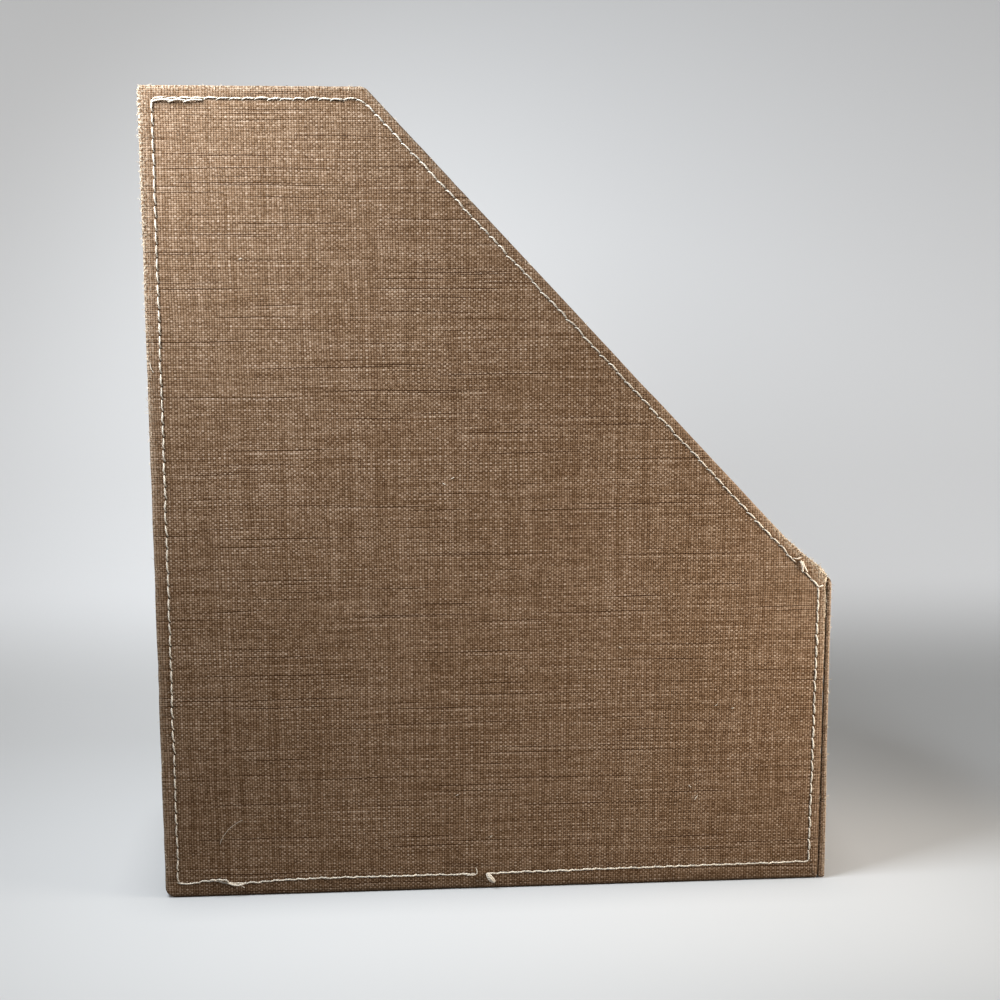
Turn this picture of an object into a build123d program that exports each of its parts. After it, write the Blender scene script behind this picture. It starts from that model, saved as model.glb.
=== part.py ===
from build123d import *
from dataclasses import dataclass
from math import hypot
import os

# Cloth-covered file holder: five board panels, wrapped in linen, lined and topstitched.
# Millimetres. X runs from the back to the open front, Y across the width, Z up.
# The origin is under the middle of the holder, on the surface that it stands on.

# Overall sizes
holder_height = 305.0
holder_width = 100.0
side_depth = 256.6
top_flat = 81.1
front_edge_height = 120.1
front_panel_rise = 1.2

# Layers of a panel
board_thickness = 2.0
cloth_thickness = 0.4
turn_in_width = 15.0
joggle_width = 0.4
lining_gap = 0.2

# Corners of the panels, seen square on
back_bottom_round = 4.0
front_bottom_round = 1.5
front_top_round = 6.0
slope_top_round = 4.0
back_top_round = 1.5
panel_corner_round = 1.5
front_panel_top_round = 2.5

# Softening of the long edges: crushed board under the cloth
board_edge_round = 0.5

# Topstitching
stitch_pitch = 4.65
thread_width = 0.7
thread_height = 0.5
thread_dip_height = 0.1
needle_hole_length = 0.6
stitch_ramp_length = 0.4
side_seam_bottom_inset = 6.2
side_seam_front_inset = 3.7
side_seam_slope_inset = 4.0
side_seam_top_inset = 4.5
side_seam_back_inset = 5.3
panel_seam_inset = 5.3
seam_ends_from_back = 119.7
seam_ends_gap = 5.4

# Sizes that follow
panel_thickness = board_thickness + 2 * cloth_thickness
turn_in_depth = board_thickness + cloth_thickness
cover_edge_round = board_edge_round + cloth_thickness
lining_inset = panel_thickness + lining_gap
holder_depth = side_depth + panel_thickness
inner_width = holder_width - 2 * panel_thickness
base_length = side_depth - panel_thickness
front_panel_height = front_edge_height + front_panel_rise
back_x = -holder_depth / 2
front_x = holder_depth / 2


@dataclass(frozen=True)
class Panel:
    """One covered panel, drawn on the plane of its outer face, whose normal points out of the holder.

    corners run anticlockwise. Edge i goes from corner i to the next, and seam_insets holds its distance
    to the stitching. seam_breaks maps an edge to the stretch of it that has no stitches.
    """

    name: str
    outer_plane: Plane
    corners: tuple
    corner_rounds: tuple
    seam_insets: tuple = ()
    seam_breaks: tuple = ()

    def plane_at(self, depth):
        """Plane parallel to the outer face, depth inside it."""
        return self.outer_plane.offset(-depth)

    def inset_corners(self, insets):
        """Corners of the outline with each edge moved in by its own inset."""
        count = len(self.corners)
        lines = [inset_line(self.corners[i], self.corners[(i + 1) % count], insets[i]) for i in range(count)]
        return [crossing(lines[i - 1], lines[i]) for i in range(count)]

    def even_inset(self, inset):
        """Corners of the outline with every edge moved in by the same inset."""
        return self.inset_corners([inset] * len(self.corners))

    def inset_rounds(self, inset):
        """Corner radii that keep the cloth equally thick round each corner."""
        return [max(radius - inset, 0.0) for radius in self.corner_rounds]

    def seam_runs(self):
        """Straight stretches of stitching as pairs of points on the outer plane."""
        points = self.inset_corners(self.seam_insets)
        runs = []
        for index, start in enumerate(points):
            end = points[(index + 1) % len(points)]
            breaks = [span for edge, *span in self.seam_breaks if edge == index]
            for break_start, break_length in breaks:
                runs.append((start, (break_start, start[1])))
                start = (break_start + break_length, start[1])
            runs.append((start, end))
        return runs


def inset_line(start, end, inset):
    """Point and unit direction of an edge moved inwards by inset."""
    length = hypot(end[0] - start[0], end[1] - start[1])
    along = ((end[0] - start[0]) / length, (end[1] - start[1]) / length)
    return (start[0] - along[1] * inset, start[1] + along[0] * inset), along


def crossing(first, second):
    """Point where two lines cross, each given as a point and a direction."""
    (x1, y1), (dx1, dy1) = first
    (x2, y2), (dx2, dy2) = second
    share = ((x2 - x1) * dy2 - (y2 - y1) * dx2) / (dx1 * dy2 - dy1 * dx2)
    return x1 + share * dx1, y1 + share * dy1


def stitch_profile(length):
    """Side view of a row of stitches: humps on the cloth, joined by low dips at the needle holes."""
    stitch_count = max(1, round((length - thread_width) / stitch_pitch))
    trim = thread_width / 2
    pitch = (length - 2 * trim) / stitch_count
    points = [(trim, 0.0), (trim, thread_dip_height)]
    for index in range(stitch_count):
        start = trim + index * pitch + needle_hole_length / 2
        end = trim + (index + 1) * pitch - needle_hole_length / 2
        points += [
            (start, thread_dip_height),
            (start + stitch_ramp_length, thread_height),
            (end - stitch_ramp_length, thread_height),
            (end, thread_dip_height),
        ]
    return points + [(length - trim, thread_dip_height), (length - trim, 0.0)]


def make_board(panel):
    """Greyboard core, with its long edges slightly crushed."""
    with BuildPart() as board:
        with BuildSketch(panel.plane_at(cloth_thickness)):
            with BuildLine():
                FilletPolyline(
                    *panel.even_inset(cloth_thickness),
                    radius=panel.inset_rounds(cloth_thickness),
                    close=True,
                )
            make_face()
        extrude(amount=-board_thickness)
        fillet(board.faces().filter_by(panel.outer_plane).edges(), board_edge_round)
    return board.part


def make_cover(panel, board):
    """Cover cloth: the outer face, the wrapped edges and the turn-ins round the inner face."""
    with BuildPart() as cover:
        with BuildSketch(panel.outer_plane):
            with BuildLine():
                FilletPolyline(*panel.corners, radius=panel.corner_rounds, close=True)
            make_face()
        extrude(amount=-panel_thickness)
        fillet(cover.faces().filter_by(panel.outer_plane).edges(), cover_edge_round)
        add(board, mode=Mode.SUBTRACT)
        with BuildSketch(panel.plane_at(turn_in_depth)):
            with BuildLine():
                Polyline(*panel.even_inset(turn_in_width), close=True)
            make_face()
        extrude(amount=-cloth_thickness, mode=Mode.SUBTRACT)
    return cover.part


def make_lining(panel):
    """Lining cloth: pressed on the board in the middle, and stepped up over the turn-ins round it."""
    with BuildPart() as lining:
        with BuildSketch(panel.plane_at(turn_in_depth)):
            with BuildLine():
                Polyline(*panel.even_inset(turn_in_width), close=True)
            make_face()
        extrude(amount=-cloth_thickness)
        with BuildSketch(panel.plane_at(panel_thickness)):
            with BuildLine():
                Polyline(*panel.even_inset(lining_inset), close=True)
            make_face()
            with BuildLine():
                Polyline(*panel.even_inset(turn_in_width + joggle_width), close=True)
            make_face(mode=Mode.SUBTRACT)
        extrude(amount=-cloth_thickness)
    return lining.part


def make_thread(panel, face_depth, outside):
    """Stitches of a panel's seam, standing on the face at face_depth, outside or inside the holder."""
    face_plane = panel.plane_at(face_depth)
    normal = face_plane.z_dir if outside else -face_plane.z_dir
    with BuildPart() as thread:
        for start, end in panel.seam_runs():
            first = face_plane.from_local_coords(Vector(*start))
            last = face_plane.from_local_coords(Vector(*end))
            along = (last - first).normalized()
            seam_plane = Plane(first, x_dir=along, z_dir=along.cross(normal))
            with BuildSketch(seam_plane.offset(-thread_width / 2)):
                with BuildLine():
                    Polyline(*stitch_profile((last - first).length), close=True)
                make_face()
            extrude(amount=thread_width)
    return thread.part


def mirror_across(part):
    """The same piece on the other side of the holder's middle plane."""
    with BuildPart() as mirrored:
        mirror(part, about=Plane.XZ)
    return mirrored.part


def rectangle_corners(width, height):
    """Corners of an upright rectangle whose first corner is the plane's origin."""
    return (0, 0), (width, 0), (width, height), (0, height)


near_side = Panel(
    name="near_side",
    outer_plane=Plane((back_x, -holder_width / 2, 0), x_dir=(1, 0, 0), z_dir=(0, -1, 0)),
    corners=(
        (0, 0),
        (side_depth, 0),
        (side_depth, front_edge_height),
        (top_flat, holder_height),
        (0, holder_height),
    ),
    corner_rounds=(back_bottom_round, front_bottom_round, front_top_round, slope_top_round, back_top_round),
    seam_insets=(
        side_seam_bottom_inset,
        side_seam_front_inset,
        side_seam_slope_inset,
        side_seam_top_inset,
        side_seam_back_inset,
    ),
    seam_breaks=((0, seam_ends_from_back, seam_ends_gap),),
)
back = Panel(
    name="back",
    outer_plane=Plane((back_x, inner_width / 2, 0), x_dir=(0, -1, 0), z_dir=(-1, 0, 0)),
    corners=rectangle_corners(inner_width, holder_height),
    corner_rounds=(panel_corner_round,) * 4,
    seam_insets=(panel_seam_inset,) * 4,
)
front = Panel(
    name="front",
    outer_plane=Plane((front_x, -holder_width / 2, 0), x_dir=(0, 1, 0), z_dir=(1, 0, 0)),
    corners=rectangle_corners(holder_width, front_panel_height),
    corner_rounds=(panel_corner_round, panel_corner_round, front_panel_top_round, front_panel_top_round),
    seam_insets=(panel_seam_inset,) * 4,
)
base = Panel(
    name="base",
    outer_plane=Plane((back_x + panel_thickness, inner_width / 2, 0), x_dir=(1, 0, 0), z_dir=(0, 0, -1)),
    corners=rectangle_corners(base_length, inner_width),
    corner_rounds=(panel_corner_round,) * 4,
)

pieces = {}
for panel in (near_side, back, front, base):
    pieces[f"{panel.name}_board"] = make_board(panel)
    pieces[f"{panel.name}_cover"] = make_cover(panel, pieces[f"{panel.name}_board"])
    pieces[f"{panel.name}_lining"] = make_lining(panel)
    if panel.seam_insets:
        pieces[f"{panel.name}_needle_thread"] = make_thread(panel, 0, outside=True)
        pieces[f"{panel.name}_bobbin_thread"] = make_thread(
            panel, panel_thickness + cloth_thickness, outside=False
        )
for name in [name for name in pieces if name.startswith(near_side.name)]:
    pieces[name.replace("near", "far")] = mirror_across(pieces[name])

os.makedirs("parts", exist_ok=True)
for name, piece in pieces.items():
    piece.label = name
    export_step(piece, f"parts/{name}.step")
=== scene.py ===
"""Looks of the cloth-covered file holder: linen covers, linings, topstitching and a plain studio.

Lengths are in metres, and the number times MM is a length in millimetres. X runs from the high back to
the low open front, Y from the near side to the far side, and Z up.
"""

import logging
from dataclasses import dataclass, field, replace
from enum import Enum
from math import cos, hypot, pi, radians, sin
from typing import Any, Sequence

import bmesh
import bpy
import numpy as np
from mathutils import Euler, Matrix, Vector, noise


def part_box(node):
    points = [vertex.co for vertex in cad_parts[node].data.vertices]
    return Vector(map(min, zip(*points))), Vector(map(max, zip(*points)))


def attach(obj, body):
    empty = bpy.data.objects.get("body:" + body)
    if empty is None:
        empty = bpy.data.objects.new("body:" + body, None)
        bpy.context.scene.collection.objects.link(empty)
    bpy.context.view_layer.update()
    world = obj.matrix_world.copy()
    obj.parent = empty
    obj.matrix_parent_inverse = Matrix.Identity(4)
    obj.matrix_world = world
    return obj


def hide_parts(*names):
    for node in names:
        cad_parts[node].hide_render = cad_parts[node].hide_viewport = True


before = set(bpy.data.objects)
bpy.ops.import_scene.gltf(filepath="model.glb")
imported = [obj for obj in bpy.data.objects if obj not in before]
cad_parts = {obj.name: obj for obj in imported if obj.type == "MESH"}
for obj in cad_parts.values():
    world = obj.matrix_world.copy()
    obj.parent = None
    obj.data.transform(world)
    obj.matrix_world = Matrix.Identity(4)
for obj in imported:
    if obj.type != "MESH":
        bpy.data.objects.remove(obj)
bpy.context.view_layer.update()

LOG = logging.getLogger("file_holder")
MM = 0.001
BODY = "root"

# Driving sizes of the side panels that no box of the frame gives
TOP_FLAT = 81.1 * MM
FRONT_EDGE_HEIGHT = 120.1 * MM

# Layers of a panel
PANEL_THICKNESS = 2.8 * MM
CLOTH_THICKNESS = 0.4 * MM
TURN_IN_WIDTH = 15.0 * MM
LINING_INSET = 3.0 * MM
WELD_DISTANCE = 0.03 * MM

# Topstitching
STITCH_PITCH = 4.65 * MM
THREAD_DIAMETER = 0.7 * MM

# How a panel's lean grows with height, as shares of the height and of the lean
LEAN_HEIGHTS = (0.0, 0.25, 0.45, 1.0)
LEAN_SHARES = (0.0, 0.2, 0.75, 1.0)

Colour = tuple[float, float, float]
Flat = tuple[float, float]
Value = Any

BLACK = (0.0, 0.0, 0.0)


class Side(Enum):
    """Which side of the panel a row of stitches lies on."""

    NEEDLE = "needle"
    BOBBIN = "bobbin"


class SideEdge(Enum):
    """Edges of a side panel."""

    BOTTOM = "bottom"
    FRONT = "front"
    SLOPE = "slope"
    TOP = "top"
    BACK = "back"


class Wiring:
    """Adds nodes to one tree and joins them, with plain values or sockets as inputs."""

    def __init__(self, tree: bpy.types.NodeTree) -> None:
        """Keeps the tree.

        Args:
            tree: shader or geometry tree that gets the nodes.
        """
        self.tree = tree

    def feed(self, socket: bpy.types.NodeSocket, value: Value) -> None:
        """Gives an input a value or a link.

        Args:
            socket: the input.
            value: an output socket to link, a plain value, or None to leave the input alone.
        """
        if isinstance(value, bpy.types.NodeSocket):
            self.tree.links.new(value, socket)
        elif value is not None:
            socket.default_value = value

    def add(self, kind: str, *values: Value, **settings: Value) -> bpy.types.Node:
        """Adds a node.

        Args:
            kind: Blender's name of the node type.
            values: what its inputs in use get, in order.
            settings: properties of the node, set before its inputs.

        Returns:
            The node.
        """
        node = self.tree.nodes.new(kind)
        for name, value in settings.items():
            setattr(node, name, value)
        in_use = [socket for socket in node.inputs if socket.enabled]
        for socket, value in zip(in_use, values):
            self.feed(socket, value)
        return node

    def out(self, kind: str, *values: Value, **settings: Value) -> bpy.types.NodeSocket:
        """Adds a node and returns its first output in use."""
        node = self.add(kind, *values, **settings)
        return next(socket for socket in node.outputs if socket.enabled)

    def math(self, operation: str, *values: Value) -> bpy.types.NodeSocket:
        """Adds a Math node and returns its result."""
        return self.out("ShaderNodeMath", *values, operation=operation)

    def blend(self, low: Value, high: Value, share: Value) -> bpy.types.NodeSocket:
        """Number between low and high at a share that runs from 0 to 1."""
        return self.out("ShaderNodeMapRange", share, 0.0, 1.0, low, high)

    def step(self, value: Value, start: float, end: float) -> bpy.types.NodeSocket:
        """Smooth step from 0 at start to 1 at end."""
        return self.out("ShaderNodeMapRange", value, start, end, 0.0, 1.0, interpolation_type="SMOOTHSTEP")

    def tint(self, share: Value, low: Value, high: Value, mode: str = "MIX") -> bpy.types.NodeSocket:
        """Colour between low and high, or high put on low in another mode."""
        return self.out("ShaderNodeMix", share, low, high, data_type="RGBA", blend_type=mode)

    def point(self, x: Value, y: Value) -> bpy.types.NodeSocket:
        """Vector from two numbers."""
        return self.out("ShaderNodeCombineXYZ", x, y, 0.0)

    def noise(self, vector: Value, scale: float, detail: float = 2.0) -> bpy.types.NodeSocket:
        """Soft noise from 0 to 1 over a flat vector."""
        return self.out("ShaderNodeTexNoise", vector, scale, detail, noise_dimensions="2D")


@dataclass(frozen=True)
class GroupPlan:
    """Inputs and outputs of a shader node group, with the socket type of each."""

    name: str
    inputs: tuple[tuple[str, str, Value], ...]
    outputs: tuple[tuple[str, str], ...]

    def start(self) -> tuple[Wiring, dict[str, bpy.types.NodeSocket], dict[str, bpy.types.NodeSocket]]:
        """Makes the empty group.

        Returns:
            Its wiring, the sockets that it is given and the sockets that it puts out.
        """
        tree = bpy.data.node_groups.new(self.name, "ShaderNodeTree")
        for name, kind, value in self.inputs:
            socket = tree.interface.new_socket(name, in_out="INPUT", socket_type=kind)
            if value is not None:
                socket.default_value = value
        for name, kind in self.outputs:
            tree.interface.new_socket(name, in_out="OUTPUT", socket_type=kind)
        wires = Wiring(tree)
        given = wires.add("NodeGroupInput").outputs
        result = wires.add("NodeGroupOutput").inputs
        return wires, {s.name: s for s in given if s.name}, {s.name: s for s in result if s.name}


@dataclass(frozen=True)
class PlainWeave:
    """Plain weave on cloth coordinates in millimetres, with uneven threads, slubs and open gaps."""

    warp_wander: float = 1.4
    weft_wander: float = 2.0
    thread_half_width: float = 0.445
    slub_width: float = 0.22
    gap_height: float = 0.25
    full_height: float = 0.85
    chequer: float = 0.48
    crown_share: float = 0.45
    crossing_spread: float = 0.52
    crossing_squeeze: float = 0.055
    row_spread: float = 0.45
    column_spread: float = 0.8
    pick_spread: float = 0.95
    pick_painted_light: float = 0.14
    band_spread: float = 0.12

    def build(self) -> bpy.types.NodeTree:
        """Builds the group.

        Returns:
            The group, whose Color, Height and Roughness change over the cloth.
        """
        plan = GroupPlan(
            "plain_weave",
            (
                ("Cloth", "NodeSocketVector", None),
                ("Warp Pitch", "NodeSocketFloat", 0.95),
                ("Weft Pitch", "NodeSocketFloat", 0.735),
                ("Thread Colour", "NodeSocketColor", (0.3, 0.2, 0.13, 1.0)),
                ("Gap Colour", "NodeSocketColor", (0.05, 0.03, 0.015, 1.0)),
                ("Deep Colour", "NodeSocketColor", (0.135, 0.072, 0.034, 1.0)),
                ("Crown Colour", "NodeSocketColor", (0.5, 0.35, 0.24, 1.0)),
                ("Slubs", "NodeSocketFloat", 1.0),
                ("Wear", "NodeSocketFloat", 0.0),
            ),
            (
                ("Color", "NodeSocketColor"),
                ("Height", "NodeSocketFloat"),
                ("Roughness", "NodeSocketFloat"),
            ),
        )
        w, given, result = plan.start()
        split = w.add("ShaderNodeSeparateXYZ", given["Cloth"])
        x, y = split.outputs[0], split.outputs[1]

        # Thread numbers and the place across each thread, from -0.5 to 0.5
        warp_at = w.math("DIVIDE", x, given["Warp Pitch"])
        weft_at = w.math("DIVIDE", y, given["Weft Pitch"])
        warp_at = w.math("MULTIPLY_ADD", self._field(w, x, y, 0.11, 0.03), self.warp_wander, warp_at)
        weft_at = w.math("MULTIPLY_ADD", self._field(w, x, y, 0.02, 0.11), self.weft_wander, weft_at)
        warp, weft = w.math("FLOOR", warp_at), w.math("FLOOR", weft_at)
        in_warp = w.math("SUBTRACT", w.math("FRACT", warp_at), 0.5)
        in_weft = w.math("SUBTRACT", w.math("FRACT", weft_at), 0.5)
        over = w.math("MULTIPLY_ADD", w.math("FLOORED_MODULO", w.math("ADD", warp, weft), 2.0), -2.0, 1.0)

        # Uneven thickness along each thread and from crossing to crossing
        crossing = w.out("ShaderNodeTexWhiteNoise", w.point(warp, weft), noise_dimensions="2D")
        thin = self.thread_half_width - self.slub_width * 0.4
        thin = w.blend(thin - self.crossing_squeeze, thin + self.crossing_squeeze, crossing)
        warp_half = w.math("MULTIPLY_ADD", self._field(w, warp, y, 3.71, 0.03), self.slub_width, thin)
        weft_half = w.math("MULTIPLY_ADD", self._field(w, x, weft, 0.022, 2.93), self.slub_width, thin)
        warp_height = self._thread_height(w, in_warp, warp_half, in_weft, over)
        weft_height = self._thread_height(w, in_weft, weft_half, in_warp, w.math("MULTIPLY", over, -1.0))

        # Long gaps between two wefts, which show as dark lines across the cloth with a paler weft beside them
        row = w.math("ROUND", weft_at)
        long_gap = w.math("MULTIPLY", self._streak(w, x, row), given["Slubs"])
        pale_weft = w.math("MULTIPLY", self._streak(w, x, w.math("ADD", row, 1.0)), given["Slubs"])
        in_gap = w.math("MULTIPLY", w.step(w.math("ABSOLUTE", in_weft), 0.12, 0.38), long_gap)
        weft_height = w.math("MULTIPLY", weft_height, w.math("MULTIPLY_ADD", in_gap, -0.85, 1.0))
        warp_height = w.math("MULTIPLY", warp_height, w.math("MULTIPLY_ADD", in_gap, -0.35, 1.0))
        top = w.math("MAXIMUM", warp_height, weft_height)

        # Crowns of the weft are darker than those of the warp, less so where wear and painted light flatten the
        # chequer, and every crossing, row and band has its own shade
        waves = w.math("MULTIPLY", w.math("COSINE", w.math("MULTIPLY", in_warp, pi)), w.math("COSINE", w.math("MULTIPLY", in_weft, pi)))
        crown = w.math("MINIMUM", w.math("MULTIPLY", waves, over), self.crown_share)
        shade = w.math("MULTIPLY_ADD", crown, w.blend(self.chequer, 0.15, given["Wear"]), 1.0)
        for field, spread in (
            (crossing, self.crossing_spread),
            (self._field(w, x, weft, 0.008, 1.37), self.row_spread),
            (self._field(w, x, weft, 0.035, 7.77), self.pick_spread),
            (self._field(w, warp, y, 1.71, 0.010), self.column_spread),
            (w.noise(self._stretch(w, x, y, 0.006, 0.20), 1.0, 3.0), self.band_spread),
            (w.noise(self._stretch(w, x, y, 0.20, 0.006), 1.0, 3.0), self.band_spread * 0.5),
        ):
            shade = w.math("MULTIPLY", shade, w.blend(1.0 - spread / 2, 1.0 + spread / 2, field))
        shade = w.math("MULTIPLY", shade, w.math("MULTIPLY_ADD", pale_weft, 0.3, 1.0))

        # Painted light: every other pick of the weft is painted paler, as if it lay a little higher in the light, and
        # the next darker, more in some places than in others
        pick = w.math("MULTIPLY_ADD", w.math("FLOORED_MODULO", weft, 2.0), 2.0, -1.0)
        pick = w.math("MULTIPLY", pick, w.step(self._field(w, x, y, 0.02, 0.06), 0.35, 0.6))
        shade = w.math("MULTIPLY", shade, w.math("MULTIPLY_ADD", pick, self.pick_painted_light, 1.0))

        # The colour follows the threads' height: open gaps, where the dark ground shows through, are rich in colour,
        # thread that lies low is painted in shade, and the palest crowns turn greyer as a painted sheen
        tone = w.math("MULTIPLY", w.step(top, self.gap_height, self.full_height), shade)
        deep = w.tint(w.math("MULTIPLY", tone, 2.0), given["Gap Colour"], given["Deep Colour"])
        body = w.tint(w.math("MULTIPLY_ADD", tone, 2.0, -1.0), deep, given["Thread Colour"])
        w.feed(result["Color"], w.tint(w.math("SUBTRACT", tone, 1.0), body, given["Crown Colour"]))
        w.feed(result["Height"], top)
        w.feed(result["Roughness"], w.blend(0.98, 0.80, top))
        return w.tree

    @staticmethod
    def _stretch(w: Wiring, x: Value, y: Value, along: float, up: float) -> bpy.types.NodeSocket:
        """Cloth coordinates with their own scale each way."""
        return w.point(w.math("MULTIPLY", x, along), w.math("MULTIPLY", y, up))

    @classmethod
    def _streak(cls, w: Wiring, x: Value, row: Value) -> bpy.types.NodeSocket:
        """1 where the line between two wefts opens, and 0 where it is closed."""
        return w.step(w.noise(cls._stretch(w, x, row, 0.013, 1.93), 1.0, 1.0), 0.63, 0.75)

    @classmethod
    def _field(cls, w: Wiring, x: Value, y: Value, along: float, up: float) -> bpy.types.NodeSocket:
        """Soft noise from 0 to 1 with its own scale each way."""
        return w.noise(cls._stretch(w, x, y, along, up), 1.0)

    @staticmethod
    def _thread_height(w: Wiring, across: Value, half: Value, along: Value, over: Value) -> bpy.types.NodeSocket:
        """Height of one set of threads, round in section, which rises and dips under the other set."""
        share = w.math("DIVIDE", across, half)
        round_section = w.math("SQRT", w.math("MAXIMUM", w.math("SUBTRACT", 1.0, w.math("MULTIPLY", share, share)), 0.0))
        wave = w.math("COSINE", w.math("MULTIPLY", along, pi))
        rise = w.math("MULTIPLY_ADD", w.math("MULTIPLY", over, wave), 0.42, 0.58)
        return w.math("MULTIPLY", round_section, rise)


@dataclass(frozen=True)
class NeedleMarks:
    """Dark needle holes and the shade of the seam's channel, on seam coordinates."""

    hole_radius_mm: float = 0.55
    channel_half_width_mm: float = 1.1

    def build(self) -> bpy.types.NodeTree:
        """Builds the group.

        Returns:
            The group. Its Seam input is (stitches along the seam, millimetres across it).
        """
        plan = GroupPlan(
            "needle_marks",
            (("Seam", "NodeSocketVector", None), ("Pitch", "NodeSocketFloat", STITCH_PITCH / MM)),
            (("Hole", "NodeSocketFloat"), ("Channel", "NodeSocketFloat")),
        )
        w, given, result = plan.start()
        split = w.add("ShaderNodeSeparateXYZ", given["Seam"])
        along, across = split.outputs[0], split.outputs[1]
        off_hole = w.math("SUBTRACT", along, w.math("ROUND", along))
        off_hole = w.math("MULTIPLY", off_hole, given["Pitch"])
        far = w.math("SQRT", w.math("ADD", w.math("MULTIPLY", off_hole, off_hole), w.math("MULTIPLY", across, across)))
        w.feed(result["Hole"], w.step(far, self.hole_radius_mm, self.hole_radius_mm * 0.35))
        w.feed(result["Channel"], w.step(w.math("ABSOLUTE", across), self.channel_half_width_mm, 0.0))
        return w.tree


@dataclass(frozen=True)
class FoldWearAndPaintedLight:
    """Paler, fuzzier cloth on worn folds, with painted light on lit ones, and painted contact shade below 0."""

    def build(self) -> bpy.types.NodeTree:
        """Builds the group.

        Returns:
            The group, whose Color is the given one where its wear and light input is 0, paler above and darkened by
            painted contact shade below.
        """
        plan = GroupPlan(
            "rubbed_fold",
            (
                ("Color", "NodeSocketColor", (0.2, 0.13, 0.08, 1.0)),
                ("Fuzz Colour", "NodeSocketColor", (0.5, 0.38, 0.24, 1.0)),
                ("Soil Colour", "NodeSocketColor", (0.03, 0.02, 0.01, 1.0)),
                ("Rub", "NodeSocketFloat", 0.0),
                ("Cloth", "NodeSocketVector", None),
            ),
            (("Color", "NodeSocketColor"), ("Fuzz", "NodeSocketFloat")),
        )
        w, given, result = plan.start()
        grain = w.noise(given["Cloth"], 1.1, 4.0)
        patches = w.noise(given["Cloth"], 0.16, 2.0)
        worn = w.math("MULTIPLY", given["Rub"], w.blend(0.35, 1.3, patches))
        fuzz = w.math("MULTIPLY", worn, w.step(w.math("MULTIPLY_ADD", worn, 0.03, grain), 0.40, 0.66))
        # Painted shade: below 0 the fold darkens towards the contact shade colour, as the shadow where the panel meets
        # the floor
        contact_shaded = w.tint(w.math("MULTIPLY", given["Rub"], -1.45), given["Color"], given["Soil Colour"])
        w.feed(result["Color"], w.tint(fuzz, contact_shaded, given["Fuzz Colour"]))
        w.feed(result["Fuzz"], fuzz)
        return w.tree


@dataclass
class NodeGroups:
    """Shader groups that several finishes share, built once."""

    weave: bpy.types.NodeTree = field(default_factory=lambda: PlainWeave().build())
    marks: bpy.types.NodeTree = field(default_factory=lambda: NeedleMarks().build())
    rub: bpy.types.NodeTree = field(default_factory=lambda: FoldWearAndPaintedLight().build())


def new_material(name: str) -> tuple[bpy.types.Material, Wiring, bpy.types.Node]:
    """Makes a material with an empty Principled shader.

    Args:
        name: the material's name.

    Returns:
        The material, its wiring and its Principled node.
    """
    material = bpy.data.materials.new(name)
    material.use_nodes = True
    material.node_tree.nodes.clear()
    wires = Wiring(material.node_tree)
    shader = wires.add("ShaderNodeBsdfPrincipled")
    wires.add("ShaderNodeOutputMaterial", shader.outputs[0])
    return material, wires, shader


def opaque(colour: Colour) -> tuple[float, float, float, float]:
    """The colour with full alpha."""
    return (*colour, 1.0)


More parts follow.
